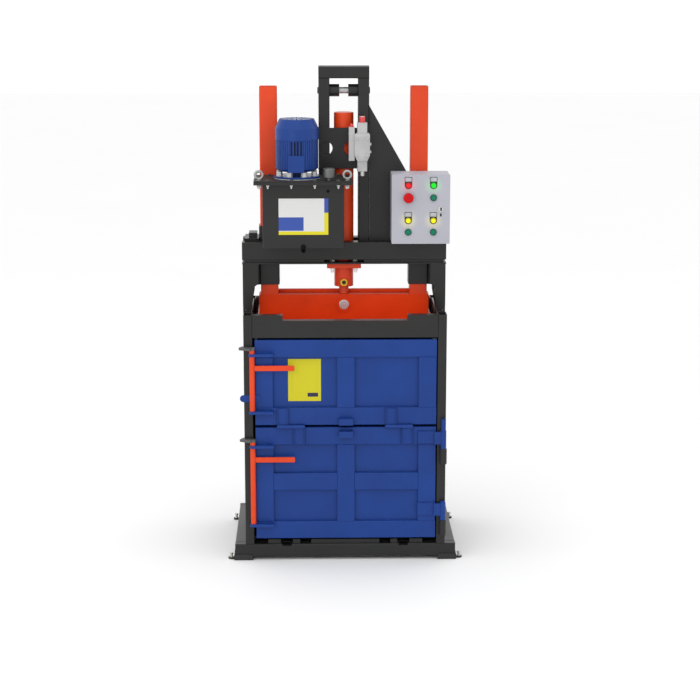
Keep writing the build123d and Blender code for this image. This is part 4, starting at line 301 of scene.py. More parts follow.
def bushed_pin(name, paint, steel, half):
    """A steel pin that shows between two painted bushes, within the given distance of the middle."""
    finish = Finish(name, specular_ior_level=0.4)
    marks = finish.noise(200.0, 4.0, 0.6, (0.05, 1.0, 1.0))
    shown = abs(finish.axes()[0]) < half
    finish.set("Base Color", finish.mix(shown, paint, finish.wander(marks, steel, 1.0, 0.8)))
    finish.set("Metallic", shown * 0.6)
    finish.set("Roughness", 0.36 - shown * 0.06 + marks * 0.1)
    finish.bump(marks, MARK_DEPTH, 0.08, finish.soft_edges(0.0012))
    return finish.material


def painted_heads(name, paint, plate, seam):
    """Plated fasteners whose heads, above the height of the seam, are painted over."""
    finish = Finish(name, specular_ior_level=0.4)
    plated = finish.axes()[2] < seam
    marks = finish.noise(180.0, 5.0, 0.65)
    finish.set("Base Color", finish.mix(plated, paint, finish.wander(marks, plate, 1.0, 0.8)))
    finish.set("Metallic", plated * 0.35)
    finish.set("Roughness", 0.36 + marks * 0.16)
    finish.bump(marks, MARK_DEPTH, 0.10, finish.soft_edges(METAL_ROUND))
    return finish.material


def printed_sheet(name, paper, bands, gloss=0.42):
    """A plain printed sheet: paper with plain colour fields, each (x span, z span, colour)."""
    finish = Finish(name, specular_ior_level=0.35)
    x, _, z = finish.axes()
    fibres = finish.noise(260.0, 4.0, 0.6)
    face = finish.wander(fibres * 0.3, paper, 1.0, 0.86)
    for (left, right), (low, high), colour in bands:
        field = (x > left) * (x < right) * (z > low) * (z < high)
        face = finish.mix(field, face, colour)
    finish.set("Base Color", face)
    finish.set("Roughness", gloss + fibres * 0.08)
    finish.bump(fibres, 0.0001, 0.08)
    return finish.material


DARK = (0.0160, 0.0160, 0.0156)
ORANGE = (0.66, 0.050, 0.007)
# Painted light: the platen beam's orange is a lighter copy of ORANGE, to make up for the shade that the
# head casts over the chamber.
PRESS_ORANGE_PAINTED_LIGHT = (0.70, 0.046, 0.004)
BLUE = (0.0075, 0.040, 0.212)
MOTOR_BLUE = (0.007, 0.040, 0.205)
SHELL = (0.385, 0.385, 0.435)
SILVER = (0.46, 0.46, 0.46)
ZINC = (0.62, 0.61, 0.58)
RED_LIGHT = (1.0, 0.005, 0.008)
GREEN_LIGHT = (0.005, 1.0, 0.014)
YELLOW_LIGHT = (1.0, 0.90, 0.005)
RUBBED_ORANGE = (0.30, 0.10, 0.06)

BEZEL_RADIUS = 0.015
HALO_START, HALO_END = 0.006, 0.062
HALO_DEEP = 0.0005
HALO_STRENGTH = 0.26
WORN_BEYOND = 0.0005    # the wear covers the faces of the chamber, so it ends just beyond them
PIN_SHOWN = 0.0202
SEAM_DROP = 0.001

floor_low, floor_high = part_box("floor_plate")
wall_x = max(abs(floor_low.x), abs(floor_high.x))
gland_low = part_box("cylinder_gland")[0].z
lid_low, lid_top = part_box("tank_lid")[0].z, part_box("tank_lid")[1].z
cab_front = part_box("cabinet_door")[0].y
lamp_low, lamp_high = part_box("indicator_lamps")
lamp_xs = (lamp_low.x + BEZEL_RADIUS, lamp_high.x - BEZEL_RADIUS)
lamp_zs = (lamp_high.z - BEZEL_RADIUS, lamp_low.z + BEZEL_RADIUS)
LAMPS = (
    ("red lamp lens", lamp_xs[0], lamp_zs[0], RED_LIGHT),
    ("green lamp lens", lamp_xs[1], lamp_zs[0], GREEN_LIGHT),
    ("left yellow lamp lens", lamp_xs[0], lamp_zs[1], YELLOW_LIGHT),
    ("right yellow lamp lens", lamp_xs[1], lamp_zs[1], YELLOW_LIGHT),
)

dark_enamel = enamel("anthracite enamel", DARK, 0.34, level=0.30)
matt_enamel = enamel("matt anthracite enamel", DARK, 0.58, level=0.25)
orange_enamel = enamel("orange enamel", ORANGE, 0.36, level=0.30, bare=RUBBED_ORANGE)
press_enamel_painted_light = enamel("press enamel with painted light", PRESS_ORANGE_PAINTED_LIGHT, 0.38, level=0.15, bare=RUBBED_ORANGE)
blue_enamel = enamel("blue enamel", BLUE, 0.38, level=0.22, bare=(0.05, 0.09, 0.22))
motor_enamel = enamel("motor enamel", MOTOR_BLUE, 0.28, level=0.25, wear=0.0)
scuffed_wall = scuffed_enamel("scuffed wall", DARK, 0.34, wall_x + WORN_BEYOND,
                              floor_high.y + WORN_BEYOND)
scuffed_plate = enamel("worn press plate", ORANGE, 0.40, level=0.35, wear=0.8, bare=(0.35, 0.33, 0.31))
turned_steel = bright_metal("turned steel", (0.80, 0.80, 0.80), 0.24, (0.05, 1.0, 1.0))
zinc_plate = bright_metal("zinc plate", ZINC, 0.34)
bolt_silver = cast_metal("bolt silver", (0.58, 0.58, 0.57), 0.34)
# Painted light: a lighter copy of the bolt silver, so that the gland flange's nuts, which sit in shade
# under the head beams, look lit.
flange_silver_painted_light = cast_metal("flange bolt silver with painted light", (0.86, 0.86, 0.85), 0.30)
lid_fasteners = painted_heads("lid fasteners", (0.07, 0.07, 0.07), (0.60, 0.60, 0.59), lid_low)
eye_steel = bright_metal("eye steel", (0.38, 0.38, 0.37), 0.30)
cam_steel = enamel("cam grey", (0.085, 0.085, 0.085), 0.42, wear=0.6, bare=(0.30, 0.30, 0.30))
pin_finish = bushed_pin("bushed pin", (0.012, 0.012, 0.012), (0.50, 0.50, 0.50), PIN_SHOWN)
pump_iron = cast_metal("pump iron", (0.22, 0.22, 0.22), 0.5)
valve_paint = cast_metal("valve silver", SILVER, 0.42)
breather_steel = bright_metal("breather steel", (0.17, 0.17, 0.17), 0.34, (1.0, 1.0, 0.1))
shoe_rubber = moulded("shoe rubber", (0.014, 0.014, 0.014), 0.62, 90.0, 0.35)
black_plastic = moulded("black plastic", (0.016, 0.016, 0.017), 0.38)
gear_plastic = moulded("switch plastic", (0.30, 0.31, 0.32), 0.42)
shell_coat = pressed_sheet("cabinet coat", SHELL, 0.55)
door_coat_and_painted_glow = pressed_sheet("cabinet door coat and painted glow", SHELL, 0.55, LAMPS)
rod_finish = rod_chrome("rod chrome", ORANGE, gland_low - SEAM_DROP)
stop_red = moulded("stop red", (0.50, 0.003, 0.006), 0.42, level=0.15)
button_green = moulded("button green", (0.002, 0.155, 0.088), 0.38, level=0.25)
jet_plastic = moulded("jet plastic", (0.002, 0.002, 0.002), 0.60, level=0.1)
# Near-black for painted shade in the motor's vents.
vent_painted_shade = moulded("vent painted shade", (0.002, 0.005, 0.022), 0.7)
lock_grey = moulded("lock grey", (0.47, 0.47, 0.46), 0.42)
bezel_green = moulded("bezel green", (0.004, 0.090, 0.055), 0.40, level=0.25)
cap_red = moulded("cap red", (0.66, 0.05, 0.05), 0.34)
ring_yellow = moulded("ring yellow", (0.70, 0.52, 0.01), 0.34)
gasket = moulded("gasket rubber", (0.03, 0.03, 0.03), 0.7, 120.0, 0.2)

NODE_FINISHES = {
    dark_enamel: ("base_frame", "wall_rails", "columns", "lintel", "hinge_posts", "head_posts",
                  "head_plate", "head_beams", "guide_sleeves", "sleeve_stay", "yoke_frame",
                  "cabinet_gusset", "oil_tank"),
    matt_enamel: ("tank_lid",),
    scuffed_wall: ("chamber_walls", "floor_plate"),
    orange_enamel: ("cylinder_barrel", "cylinder_gland", "lower_latch_bar", "upper_latch_bar",
                    "guide_tubes"),
    press_enamel_painted_light: ("platen_beam",),
    scuffed_plate: ("press_plate",),
    blue_enamel: ("door_frame", "door_panels", "door_fittings", "hinge_straps", "flap_frame",
                  "flap_panels", "flap_fittings", "flap_hinge_pins"),
    motor_enamel: ("motor_body", "fan_cover"),
    turned_steel: ("rod_pin",),
    pin_finish: ("lifting_pin",),
    cam_steel: ("lower_latch_cam", "upper_latch_cam"),
    zinc_plate: ("anchor_bolts", "valve_nuts"),
    lid_fasteners: ("lid_bolts",),
    eye_steel: ("lifting_eyes",),
    flange_silver_painted_light: ("head_bolts",),
    pump_iron: ("oil_pump",),
    valve_paint: ("valve_body", "valve_coils"),
    breather_steel: ("breather",),
    shoe_rubber: ("foot_pads",),
    black_plastic: ("indicator_lamps", "motor_rotor"),
    gear_plastic: ("switchgear",),
    shell_coat: ("cabinet_box",),
    door_coat_and_painted_glow: ("cabinet_door",),
    rod_finish: ("piston_rod",),
    stop_red: ("emergency_stop",),
    button_green: ("start_button", "raise_button", "lower_button"),
    bezel_green: ("button_bezels",),
    jet_plastic: ("drain_plug",),
    lock_grey: ("cabinet_lock",),
}
for material, nodes in NODE_FINISHES.items():
    for node in nodes:
        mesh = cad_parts[node].data
        mesh.materials.clear()
        mesh.materials.append(material)
undressed = set(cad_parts) - {node for nodes in NODE_FINISHES.values() for node in nodes}
assert not undressed, undressed


# Mesh pieces

UP, DOWN, FORWARD, RIGHT = (0, 0, 1), (0, 0, -1), (0, -1, 0), (1, 0, 0)
SMOOTH_BELOW = 35.0
MERGE_WITHIN = 1e-6


def corners(node):
    """Low and high corner of a CAD node, as two plain tuples."""
    low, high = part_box(node)
    return tuple(low), tuple(high)


def middle(node):
    """Middle of a CAD node's box."""
    return tuple((low + high) / 2 for low, high in zip(*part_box(node)))


def bolt_grid(node, half_x, half_y, columns=2):
    """Middles of bolts that stand in two rows, from their node's box and half the size of a head."""
    low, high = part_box(node)
    first, last = low.x + half_x, high.x - half_x
    xs = [first + (last - first) * index / (columns - 1) for index in range(columns)]
    return [(x, y) for x in xs for y in (low.y + half_y, high.y - half_y)]


def settle(name, mesh, body, material, smooth_below=SMOOTH_BELOW):
    """Turns a finished mesh into a piece that rides on a body, smooth below an angle in degrees."""
    mesh.materials.clear()
    mesh.materials.append(material)
    mesh.shade_smooth()
    mesh.set_sharp_from_angle(angle=radians(smooth_below))
    piece = bpy.data.objects.new(name.replace(" ", "_"), mesh)
    bpy.context.scene.collection.objects.link(piece)
    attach(piece, body)


def add_piece(name, fill, body, slot, material, smooth_below=SMOOTH_BELOW):
    """Makes a piece from a function that fills a bmesh, with its normals outwards."""
    form = bmesh.new()
    fill(form)
    bmesh.ops.remove_doubles(form, verts=form.verts, dist=MERGE_WITHIN)
    bmesh.ops.recalc_face_normals(form, faces=form.faces)
    mesh = bpy.data.meshes.new(name)
    form.to_mesh(mesh)
    form.free()
    settle(name, mesh, body, material, smooth_below)


def add_turned(form, outline, place, axis, segments=32):
    """Turns an outline of (radius, distance along the axis) round the axis through the place."""
    turn = Vector(UP).rotation_difference(Vector(axis)).to_matrix()
    rings = []
    for radius, along in outline:
        ring = []
        for step in range(segments if radius > 0 else 1):
            angle = 2 * pi * step / segments
            point = turn @ Vector((radius * cos(angle), radius * sin(angle), along)) + Vector(place)
            ring.append(form.verts.new(point))
        rings.append(ring)
    for low, high in zip(rings, rings[1:]):
        for step in range(segments):
            after = (step + 1) % segments
            loop = (low[step % len(low)], low[after % len(low)],
                    high[after % len(high)], high[step % len(high)])
            unique = list(dict.fromkeys(loop))
            if len(unique) > 2:
                form.faces.new(unique)


def add_turned_piece(name, outline, place, axis, slot, material, segments=32):
    """A piece of the frame that is turned from one outline."""
    add_piece(name, lambda form: add_turned(form, outline, place, axis, segments),
              "frame", slot, material)


def add_block(form, low, high, edge, steps=2):
    """A box between two corners, with all its edges rounded."""
    size = Vector(high) - Vector(low)
    middle = (Vector(high) + Vector(low)) / 2
    made = bmesh.ops.create_cube(form, size=1.0, matrix=Matrix.LocRotScale(middle, None, size))
    edges = {line for vertex in made["verts"] for line in vertex.link_edges}
    bmesh.ops.bevel(form, geom=list(edges), offset=edge, segments=steps, profile=0.5, affect="EDGES")


def add_blocks(name, places, block, body, slot, material):
    """A piece of equal blocks: (low and high corner from each place, edge radius, steps)."""
    low, high, edge, steps = block

    def fill(form):
        for place in places:
            ends = [[start + reach for start, reach in zip(place, corner)] for corner in (low, high)]
            add_block(form, *ends, edge, steps)

    add_piece(name, fill, body, slot, material)


def add_bar(form, start, end, radius, segments):
    """A straight round bar with flat ends."""
    heading = (Vector(end) - Vector(start)).normalized()
    side = heading.orthogonal().normalized()
    other = heading.cross(side)
    angles = [2 * pi * step / segments for step in range(segments)]
    spokes = [radius * (cos(angle) * side + sin(angle) * other) for angle in angles]
    low, high = ([form.verts.new(Vector(place) + spoke) for spoke in spokes] for place in (start, end))
    for step in range(segments):
        after = (step + 1) % segments
        form.faces.new([low[step], low[after], high[after], high[step]])
    form.faces.new(list(reversed(low)))
    form.faces.new(high)


# Repeated pieces, made with Geometry Nodes


class Pattern:
    """A Geometry Nodes tree with named sizes, run on points or lines and turned into a plain mesh."""

    def __init__(self, name, sizes):
        self.tree = bpy.data.node_groups.new(name, "GeometryNodeTree")
        self.keys = {}
        self.add_socket("Geometry", "INPUT", "NodeSocketGeometry")
        for size in sizes:
            self.add_socket(size, "INPUT", "NodeSocketFloat")
        self.add_socket("Finish", "INPUT", "NodeSocketMaterial")
        self.add_socket("Geometry", "OUTPUT", "NodeSocketGeometry")
        self.entry = self.tree.nodes.new("NodeGroupInput").outputs

    def add_socket(self, name, way, kind):
        """Adds an input or output of the tree and keeps its identifier."""
        socket = self.tree.interface.new_socket(name=name, in_out=way, socket_type=kind)
        self.keys[name] = socket.identifier

    def node(self, kind, settings, inputs, output=0):
        """Adds a node with its settings, then its input values or links, and gives one output."""
        made = self.tree.nodes.new(kind)
        for name, value in settings.items():
            setattr(made, name, value)
        for key, value in inputs.items():
            if isinstance(value, bpy.types.NodeSocket):
                self.tree.links.new(value, made.inputs[key])
            else:
                made.inputs[key].default_value = value
        return made.outputs[output]

    def vector(self, x, y, z):
        """A vector from three named sizes."""
        inputs = {"X": self.entry[x], "Y": self.entry[y], "Z": self.entry[z]}
        return self.node("ShaderNodeCombineXYZ", {}, inputs)

    def close(self, points, instance, **turned):
        """Ends the tree: the instance on each point, made real, with the finish on it."""
        inputs = {"Points": points, "Instance": instance, **turned}
        placed = self.node("GeometryNodeInstanceOnPoints", {}, inputs)
        real = self.node("GeometryNodeRealizeInstances", {}, {"Geometry": placed})
        inputs = {"Geometry": real, "Material": self.entry["Finish"]}
        dressed = self.node("GeometryNodeSetMaterial", {}, inputs)
        self.tree.links.new(dressed, self.tree.nodes.new("NodeGroupOutput").inputs["Geometry"])

    def run(self, name, places, sizes, body, slot, material, smooth_below=SMOOTH_BELOW, lines=()):
        """Runs the tree on points, or on lines between them, and settles the result as a piece."""
        source = bpy.data.meshes.new(name)
        source.from_pydata([tuple(place) for place in places], list(lines), [])
        carrier = bpy.data.objects.new(name + " source", source)
        bpy.context.scene.collection.objects.link(carrier)
        modifier = carrier.modifiers.new("pattern", "NODES")
        modifier.node_group = self.tree
        for size, value in {**sizes, "Finish": material}.items():
            modifier[self.keys[size]] = value
        graph = bpy.context.evaluated_depsgraph_get()
        mesh = bpy.data.meshes.new_from_object(carrier.evaluated_get(graph))
        carrier.modifiers.clear()
        bpy.data.objects.remove(carrier)
        mesh.name = name
        settle(name, mesh, body, material, smooth_below)


def bead_pattern():
    """Ripples of a weld bead along each line of the source."""
    pattern = Pattern("weld bead", ("Pitch", "Width", "Height"))
    curve = pattern.node("GeometryNodeMeshToCurve", {}, {"Mesh": pattern.entry["Geometry"]})
    inputs = {"Curve": curve, "Length": pattern.entry["Pitch"]}
    points = pattern.node("GeometryNodeCurveToPoints", {"mode": "LENGTH"}, inputs)
    ripple = pattern.node("GeometryNodeMeshIcoSphere", {}, {"Radius": 0.5, "Subdivisions": 2})
    size = pattern.vector("Width", "Width", "Height")
    pattern.close(points, ripple, Rotation=points.node.outputs["Rotation"], Scale=size)
    return pattern


def ring_pattern(name, sides):
    """A flat ring or nut with the given number of sides at each point, on an upright axis."""
    pattern = Pattern(name, ("Radius", "Height"))
    inputs = {"Vertices": sides, "Radius": pattern.entry["Radius"], "Depth": pattern.entry["Height"]}
    disc = pattern.node("GeometryNodeMeshCylinder", {}, inputs)
    pattern.close(pattern.entry["Geometry"], disc)
    return pattern


def block_pattern(name):
    """A small block at each point."""
    pattern = Pattern(name, ("Width", "Depth", "Height"))
    size = pattern.vector("Width", "Depth", "Height")
    pattern.close(pattern.entry["Geometry"], pattern.node("GeometryNodeMeshCube", {}, {"Size": size}))
    return pattern


bead = bead_pattern()
nut_ring = ring_pattern("nut", 6)
washer_ring = ring_pattern("washer", 24)
finger = block_pattern("duct finger")


# Welds: each takes the paint of the body that it is on

PANEL_BEAD = 0.004
FITTING_BEAD = 0.0065
FRAME_BEAD = 0.007
BEAD_PITCH = 0.52       # shares of the bead's width
BEAD_HEIGHT = 0.62
BEAD_SMOOTH = 60.0
WELD_SHORT = 0.004      # a weld stops this far from the end of a seam
COATS = {
    "main_door": ("door_blue", blue_enamel),
    "flap": ("door_blue", blue_enamel),
    "frame": ("dark_paint", dark_enamel),
}


def weld(name, lines, body, width):
    """One piece of weld bead along the given lines."""
    places = [point for line in lines for point in line]
    links = [(2 * index, 2 * index + 1) for index in range(len(lines))]
    sizes = {"Pitch": width * BEAD_PITCH, "Width": width, "Height": width * BEAD_HEIGHT}
    bead.run(name, places, sizes, body, *COATS[body], BEAD_SMOOTH, links)


def edge_lines(y, left, right, low, high, sides):
    """Lines at y along the named edges of an upright plate: its left, right, bottom and top."""
    edges = {
        "L": ((left, y, low), (left, y, high)),
        "R": ((right, y, low), (right, y, high)),
        "B": ((left, y, low), (right, y, low)),
        "T": ((left, y, high), (right, y, high)),
    }
    return [edges[side] for side in sides]


# Door and flap

TUBE = 0.080
MID_RAIL_RISE = 0.226
(door_left, face, door_low), (door_right, _, door_high) = corners("door_frame")
(_, _, flap_low), (_, _, flap_high) = corners("flap_frame")
panel_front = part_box("door_panels")[0].y
door_middle = (door_left + door_right) / 2
BAYS = ((door_left + TUBE, door_middle - TUBE / 2), (door_middle + TUBE / 2, door_right - TUBE))


def bay_lines(low, high):
    """Weld lines round the two panels of one row of bays."""
    return [line for left, right in BAYS
            for line in edge_lines(panel_front, left, right, low, high, "BTLR")]


mid_low = door_low + MID_RAIL_RISE
door_bays = bay_lines(door_low + TUBE, mid_low) + bay_lines(mid_low + TUBE, door_high - TUBE)
weld("door panel welds", door_bays, "main_door", PANEL_BEAD)
weld("flap panel welds", bay_lines(flap_low + TUBE, flap_high - TUBE), "flap", PANEL_BEAD)

HINGE_MIDDLES = (-0.243, 0.241)
EYE_END = 0.06125
LEAF_WIDTH = 0.050
LEAF_REACH = 0.0815
RIB_HALF = 0.0022
RIB_PROUD = 0.0120
RIB_START = 0.0105
RIB_PAST = 0.001
RIB_EDGE = 0.0010
fold_z = (door_high + flap_low) / 2


def leaf_spans(side):
    """Outer and inner edge of each fold hinge's leaf, below the fold (-1) or above it (1)."""
    outers = [hinge_middle - side * EYE_END for hinge_middle in HINGE_MIDDLES]
    return [(outer, outer + side * LEAF_WIDTH) for outer in outers]


def leaf_lines(side):
    """Weld lines round the leaves below the fold (-1) or above it (1)."""
    lines = []
    for span in leaf_spans(side):
        if side > 0:
            height = (flap_low + WELD_SHORT, fold_z + LEAF_REACH, "LRT")
        else:
            height = (fold_z - LEAF_REACH, door_high - WELD_SHORT, "LRB")
        lines += edge_lines(face, min(span), max(span), *height)
    return lines


def fill_leaf_ribs(form, side):
    """Raised sides of the leaves below the fold (-1) or above it (1)."""
    low, high = sorted((fold_z + side * RIB_START, fold_z + side * (LEAF_REACH + RIB_PAST)))
    for outer, inner in leaf_spans(side):
        for x in (outer + side * RIB_HALF, inner - side * RIB_HALF):
            add_block(form, (x - RIB_HALF, face - RIB_PROUD, low), (x + RIB_HALF, face, high), RIB_EDGE)


for name, side, body in (("door leaf ribs", -1, "main_door"), ("flap leaf ribs", 1, "flap")):
    add_piece(name, lambda form: fill_leaf_ribs(form, side), body, *COATS[body])

LUG_LENGTH = 0.081
LUG_THICK = 0.013
DOOR_LUGS = (0.063, 0.429)
FLAP_LUGS = (0.057, 0.319)


def lug_lines(bottom, rises):
    """Lines along both faces and the end of each latch lug."""
    lines = []
    for rise in rises:
        low = bottom + rise
        lines += edge_lines(face, door_left + WELD_SHORT, door_left + LUG_LENGTH,
                            low, low + LUG_THICK, "RBT")
    return lines


STRAP_LENGTH = 0.081
STRAP_HEIGHT = 0.056
STRAP_RISES = (0.020, 0.353)
strap_lines = []
for rise in STRAP_RISES:
    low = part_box("hinge_straps")[0].z + rise
    strap_lines += edge_lines(face, door_right - STRAP_LENGTH, door_right - WELD_SHORT,
                              low, low + STRAP_HEIGHT, "LBT")
door_fittings = leaf_lines(-1) + lug_lines(door_low, DOOR_LUGS) + strap_lines
weld("door fitting welds", door_fittings, "main_door", FITTING_BEAD)
weld("flap fitting welds", leaf_lines(1) + lug_lines(flap_low, FLAP_LUGS), "flap", FITTING_BEAD)


# Welds of the frame

POST_LEFT = 0.424
POST_HEIGHT = 0.072
POST_PITCH = 0.333
post_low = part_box("hinge_posts")[0].z
post_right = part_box("columns")[1].x - WELD_SHORT
post_lines = []
for low in (post_low, post_low + POST_PITCH):
    post_lines += edge_lines(face, POST_LEFT, post_right, low, low + POST_HEIGHT, "LBT")
weld("hinge post welds", post_lines, "frame", FITTING_BEAD)

YOKE_PLATE_SET = 0.008      # the cross plate lies this far behind the posts' front
YOKE_INSIDE = 0.066         # half the opening between the yoke's posts
PLATE_RISE = 0.328
PLATE_HEIGHT = 0.183
GUSSET_RISE = 0.195
FOOT_SPAN = (0.426, 0.443)  # across the top of a wall, under the posts of the head
FOOT_DEPTH = 0.060
plate_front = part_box("yoke_frame")[0].y + YOKE_PLATE_SET
plate_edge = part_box("yoke_frame")[1].x
plate_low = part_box("head_beams")[1].z + PLATE_RISE
gusset_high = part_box("cabinet_gusset")[1].z
wall_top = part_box("chamber_walls")[1].z
head_front, head_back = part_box("head_beams")[0].y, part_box("head_beams")[1].y
yoke_lines = [((side * plate_edge, plate_front, z), (side * YOKE_INSIDE, plate_front, z))
              for side in (-1, 1) for z in (plate_low, plate_low + PLATE_HEIGHT)]
yoke_lines.append(((plate_edge, plate_front, plate_low + GUSSET_RISE),
                   (plate_edge, plate_front, gusset_high - WELD_SHORT)))
foot_lines = [((side * FOOT_SPAN[0], y, wall_top), (side * FOOT_SPAN[1], y, wall_top))
              for y in (head_front, head_front + FOOT_DEPTH, head_back - FOOT_DEPTH, head_back)
              for side in (-1, 1)]
weld("yoke and post welds", yoke_lines + foot_lines, "frame", FRAME_BEAD)

STITCH = 0.055
WALL_THICK = 0.008
COLUMN_REACH = 0.080
RAIL_HEIGHT = 0.060
RAIL_LOWS = (0.290, 0.640, wall_top - RAIL_HEIGHT)
BACK_INSET = 0.010
BACK_HALF = 0.41


def stitches(start, end, count):
    """Short runs spread evenly along a line."""
    start, end = Vector(start), Vector(end)
    step = (end - start) / count
    half = step.normalized() * STITCH / 2
    middles = [start + step * (index + 0.5) for index in range(count)]
    return [(tuple(place - half), tuple(place + half)) for place in middles]


wall_out = wall_x + WALL_THICK
base_front, base_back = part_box("base_frame")[0].y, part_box("base_frame")[1].y
side_span = (base_front + COLUMN_REACH, base_back - COLUMN_REACH)
back_y = base_back - BACK_INSET
rail_edges = [edge for low in RAIL_LOWS for edge in (low, low + RAIL_HEIGHT)][:-1]
rail_lines = []
for z in rail_edges:
    for side in (-1, 1):
        rail_lines += stitches(*((side * wall_out, y, z) for y in side_span), 3)
    rail_lines += stitches((-BACK_HALF, back_y, z), (BACK_HALF, back_y, z), 4)
weld("rail welds", rail_lines, "frame", FRAME_BEAD)


# Plain coloured sheets on the flap and the tank

SHEET_THICK = 0.0006
SHEET_STANDOFF = 0.0008
SHEET_EDGE = 0.4        # share of the sheet's thickness
BRIGHT_YELLOW = (0.55, 0.50, 0.006)
DEEP_YELLOW = (0.50, 0.45, 0.006)
INK = (0.02, 0.02, 0.05)
WARM_YELLOW = (0.62, 0.55, 0.01)
FIELD_BLUE = (0.03, 0.07, 0.32)
PAPER = (0.62, 0.62, 0.61)


def add_sheet(name, x_span, z_span, front, body, slot, material):
    """A thin stuck-on sheet, just in front of the surface at the given y."""
    y = front - SHEET_STANDOFF
    low, high = (x_span[0], y, z_span[0]), (x_span[1], y + SHEET_THICK, z_span[1])
    add_piece(name, lambda form: add_block(form, low, high, SHEET_THICK * SHEET_EDGE, 1),
              body, slot, material)


def inset(span, low, high):
    """A span drawn in at its two ends."""
    return span[0] + low, span[1] - high


notice_x = (-0.255, -0.108)
notice_z = (0.738, 0.931)
strip_x = (notice_x[1] - 0.060, notice_x[1] - 0.013)
strip_z = (notice_z[0] + 0.020, notice_z[0] + 0.038)
notice = printed_sheet("yellow notice", BRIGHT_YELLOW, [
    (inset(notice_x, 0.020, 0.020), inset(notice_z, 0.040, 0.022), DEEP_YELLOW),
    (inset(notice_x, 0.022, 0.022), inset(notice_z, 0.042, 0.024), BRIGHT_YELLOW),
    (strip_x, strip_z, INK),
])
add_sheet("notice sheet", notice_x, notice_z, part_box("flap_panels")[0].y, "flap", "lamp_glass", notice)

TANK_RIM = 0.034
tank_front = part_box("oil_tank")[0].y + TANK_RIM
label_x = (-0.292, -0.073)
label_z = (1.482, 1.643)
stripe_x = (label_x[1] - 0.018, label_x[1])
stripe_break = label_z[0] + 0.098
label = printed_sheet("tank label", PAPER, [
    (label_x, (label_z[0], label_z[0] + 0.015), WARM_YELLOW),
    (stripe_x, (label_z[0], stripe_break), WARM_YELLOW),
    (stripe_x, (stripe_break, label_z[1]), FIELD_BLUE),
    ((label_x[0], label_x[0] + 0.110), (label_z[0] + 0.018, label_z[0] + 0.078), FIELD_BLUE),
])
add_sheet("label sheet", label_x, label_z, tank_front, "frame", "cabinet_grey", label)


# Cabinet front

LENS_RADIUS = 0.0128
LENS_LENGTH = 0.0085
LENS_SEAT = 0.0062
COLLAR_LENGTH = 0.0040
LENS_SMOOTH = 50.0
LENS_PROFILE = ((0.0, 1.0), (0.45, 0.985), (0.75, 0.90), (0.93, 0.72),
                (1.0, 0.5), (1.0, 0.0), (0.6, 0.0), (0.0, 0.0))
lens_outline = [(LENS_RADIUS * across, LENS_LENGTH * along) for across, along in LENS_PROFILE]
lens_back = lamp_low.y + LENS_SEAT
lenses = {light: lit_lens(name, light, lamp_xs, lamp_zs, LENS_RADIUS, lens_back - COLLAR_LENGTH)
          for name, light in (("red lens", RED_LIGHT), ("green lens", GREEN_LIGHT),
                              ("yellow lens", YELLOW_LIGHT))}
for name, x, z, light in LAMPS:
    add_piece(name, lambda form: add_turned(form, lens_outline, (x, lens_back, z), FORWARD),
              "cabinet_door", "lamp_glass", lenses[light], LENS_SMOOTH)

HOLDER_HALF = 0.016
HOLDER_TOP = 0.037
HOLDER_THICK = 0.0025
HOLDER_STEPS = 48
BEZEL_CLEAR = 0.0152
CARD = ((-0.0138, -0.0031, 0.0175), (0.0138, -0.0021, 0.0350), 0.0004, 1)


def holder_outlines(x, z):
    """Outer and inner outline of a lamp's legend holder: square above the lamp, round below it."""
    corner = atan2(HOLDER_TOP, HOLDER_HALF)
    angles = sorted([2 * pi * step / HOLDER_STEPS for step in range(HOLDER_STEPS)]
                    + [corner, pi - corner])
    outer, inner = [], []
    for angle in angles:
        across, upward = cos(angle), sin(angle)
        reach = HOLDER_HALF
        if upward > 0:
            reach = min(HOLDER_HALF / max(abs(across), MERGE_WITHIN), HOLDER_TOP / upward)
        outer.append((x + reach * across, z + reach * upward))
        inner.append((x + BEZEL_CLEAR * across, z + BEZEL_CLEAR * upward))
    return outer, inner


def add_plate_ring(form, outer, inner, front, back):
    """A flat plate with a hole, between two outlines with the same number of points."""
    rows = [[form.verts.new((x, y, z)) for x, z in line]
            for line, y in ((outer, back), (outer, front), (inner, front), (inner, back))]
    for near, far in zip(rows, rows[1:] + rows[:1]):
        for step in range(len(near)):
            after = (step + 1) % len(near)
            form.faces.new([near[step], near[after], far[after], far[step]])


def fill_holders(form):
    """A legend holder round each lamp."""
    for x, z in lamp_spots:
        add_plate_ring(form, *holder_outlines(x, z), cab_front - HOLDER_THICK, cab_front)


lamp_spots = [(x, z) for x in lamp_xs for z in lamp_zs]
add_piece("legend holders", fill_holders, "cabinet_door", "black_plastic", black_plastic)
card_grey = moulded("card grey", (0.40, 0.40, 0.44), 0.45)
card_places = [(x, cab_front, z) for x, z in lamp_spots]
add_blocks("legend cards", card_places, CARD, "cabinet_door", "cabinet_grey", card_grey)

LOCK_RISE = 0.012       # from the foot of the lock to its middle, where the key slot is
KEY_SLOT = ((-0.0020, -0.0008, -0.0075), (0.0045, 0.0004, 0.0075), 0.0005, 2)
LOWER_INSERT = ((-0.0030, -0.0018, -0.0325), (0.0035, 0.0, -0.0195), 0.0006, 2)
lock_x, _, _ = middle("cabinet_lock")
(_, lock_front, lock_low), _ = corners("cabinet_lock")
lock_z = lock_low + LOCK_RISE
for name, front, block, body in (("key slot", lock_front, KEY_SLOT, "cabinet_lock"),
                                 ("lower insert", cab_front, LOWER_INSERT, "cabinet_door")):
    add_blocks(name, [(lock_x, front, lock_z)], block, body, "black_plastic", jet_plastic)

GASKET_INSET = 0.012
GASKET_SUNK = 0.001
GASKET_RADIUS = 0.0022
(cab_left, _, cab_low), (cab_right, cab_door_back, cab_high) = corners("cabinet_door")


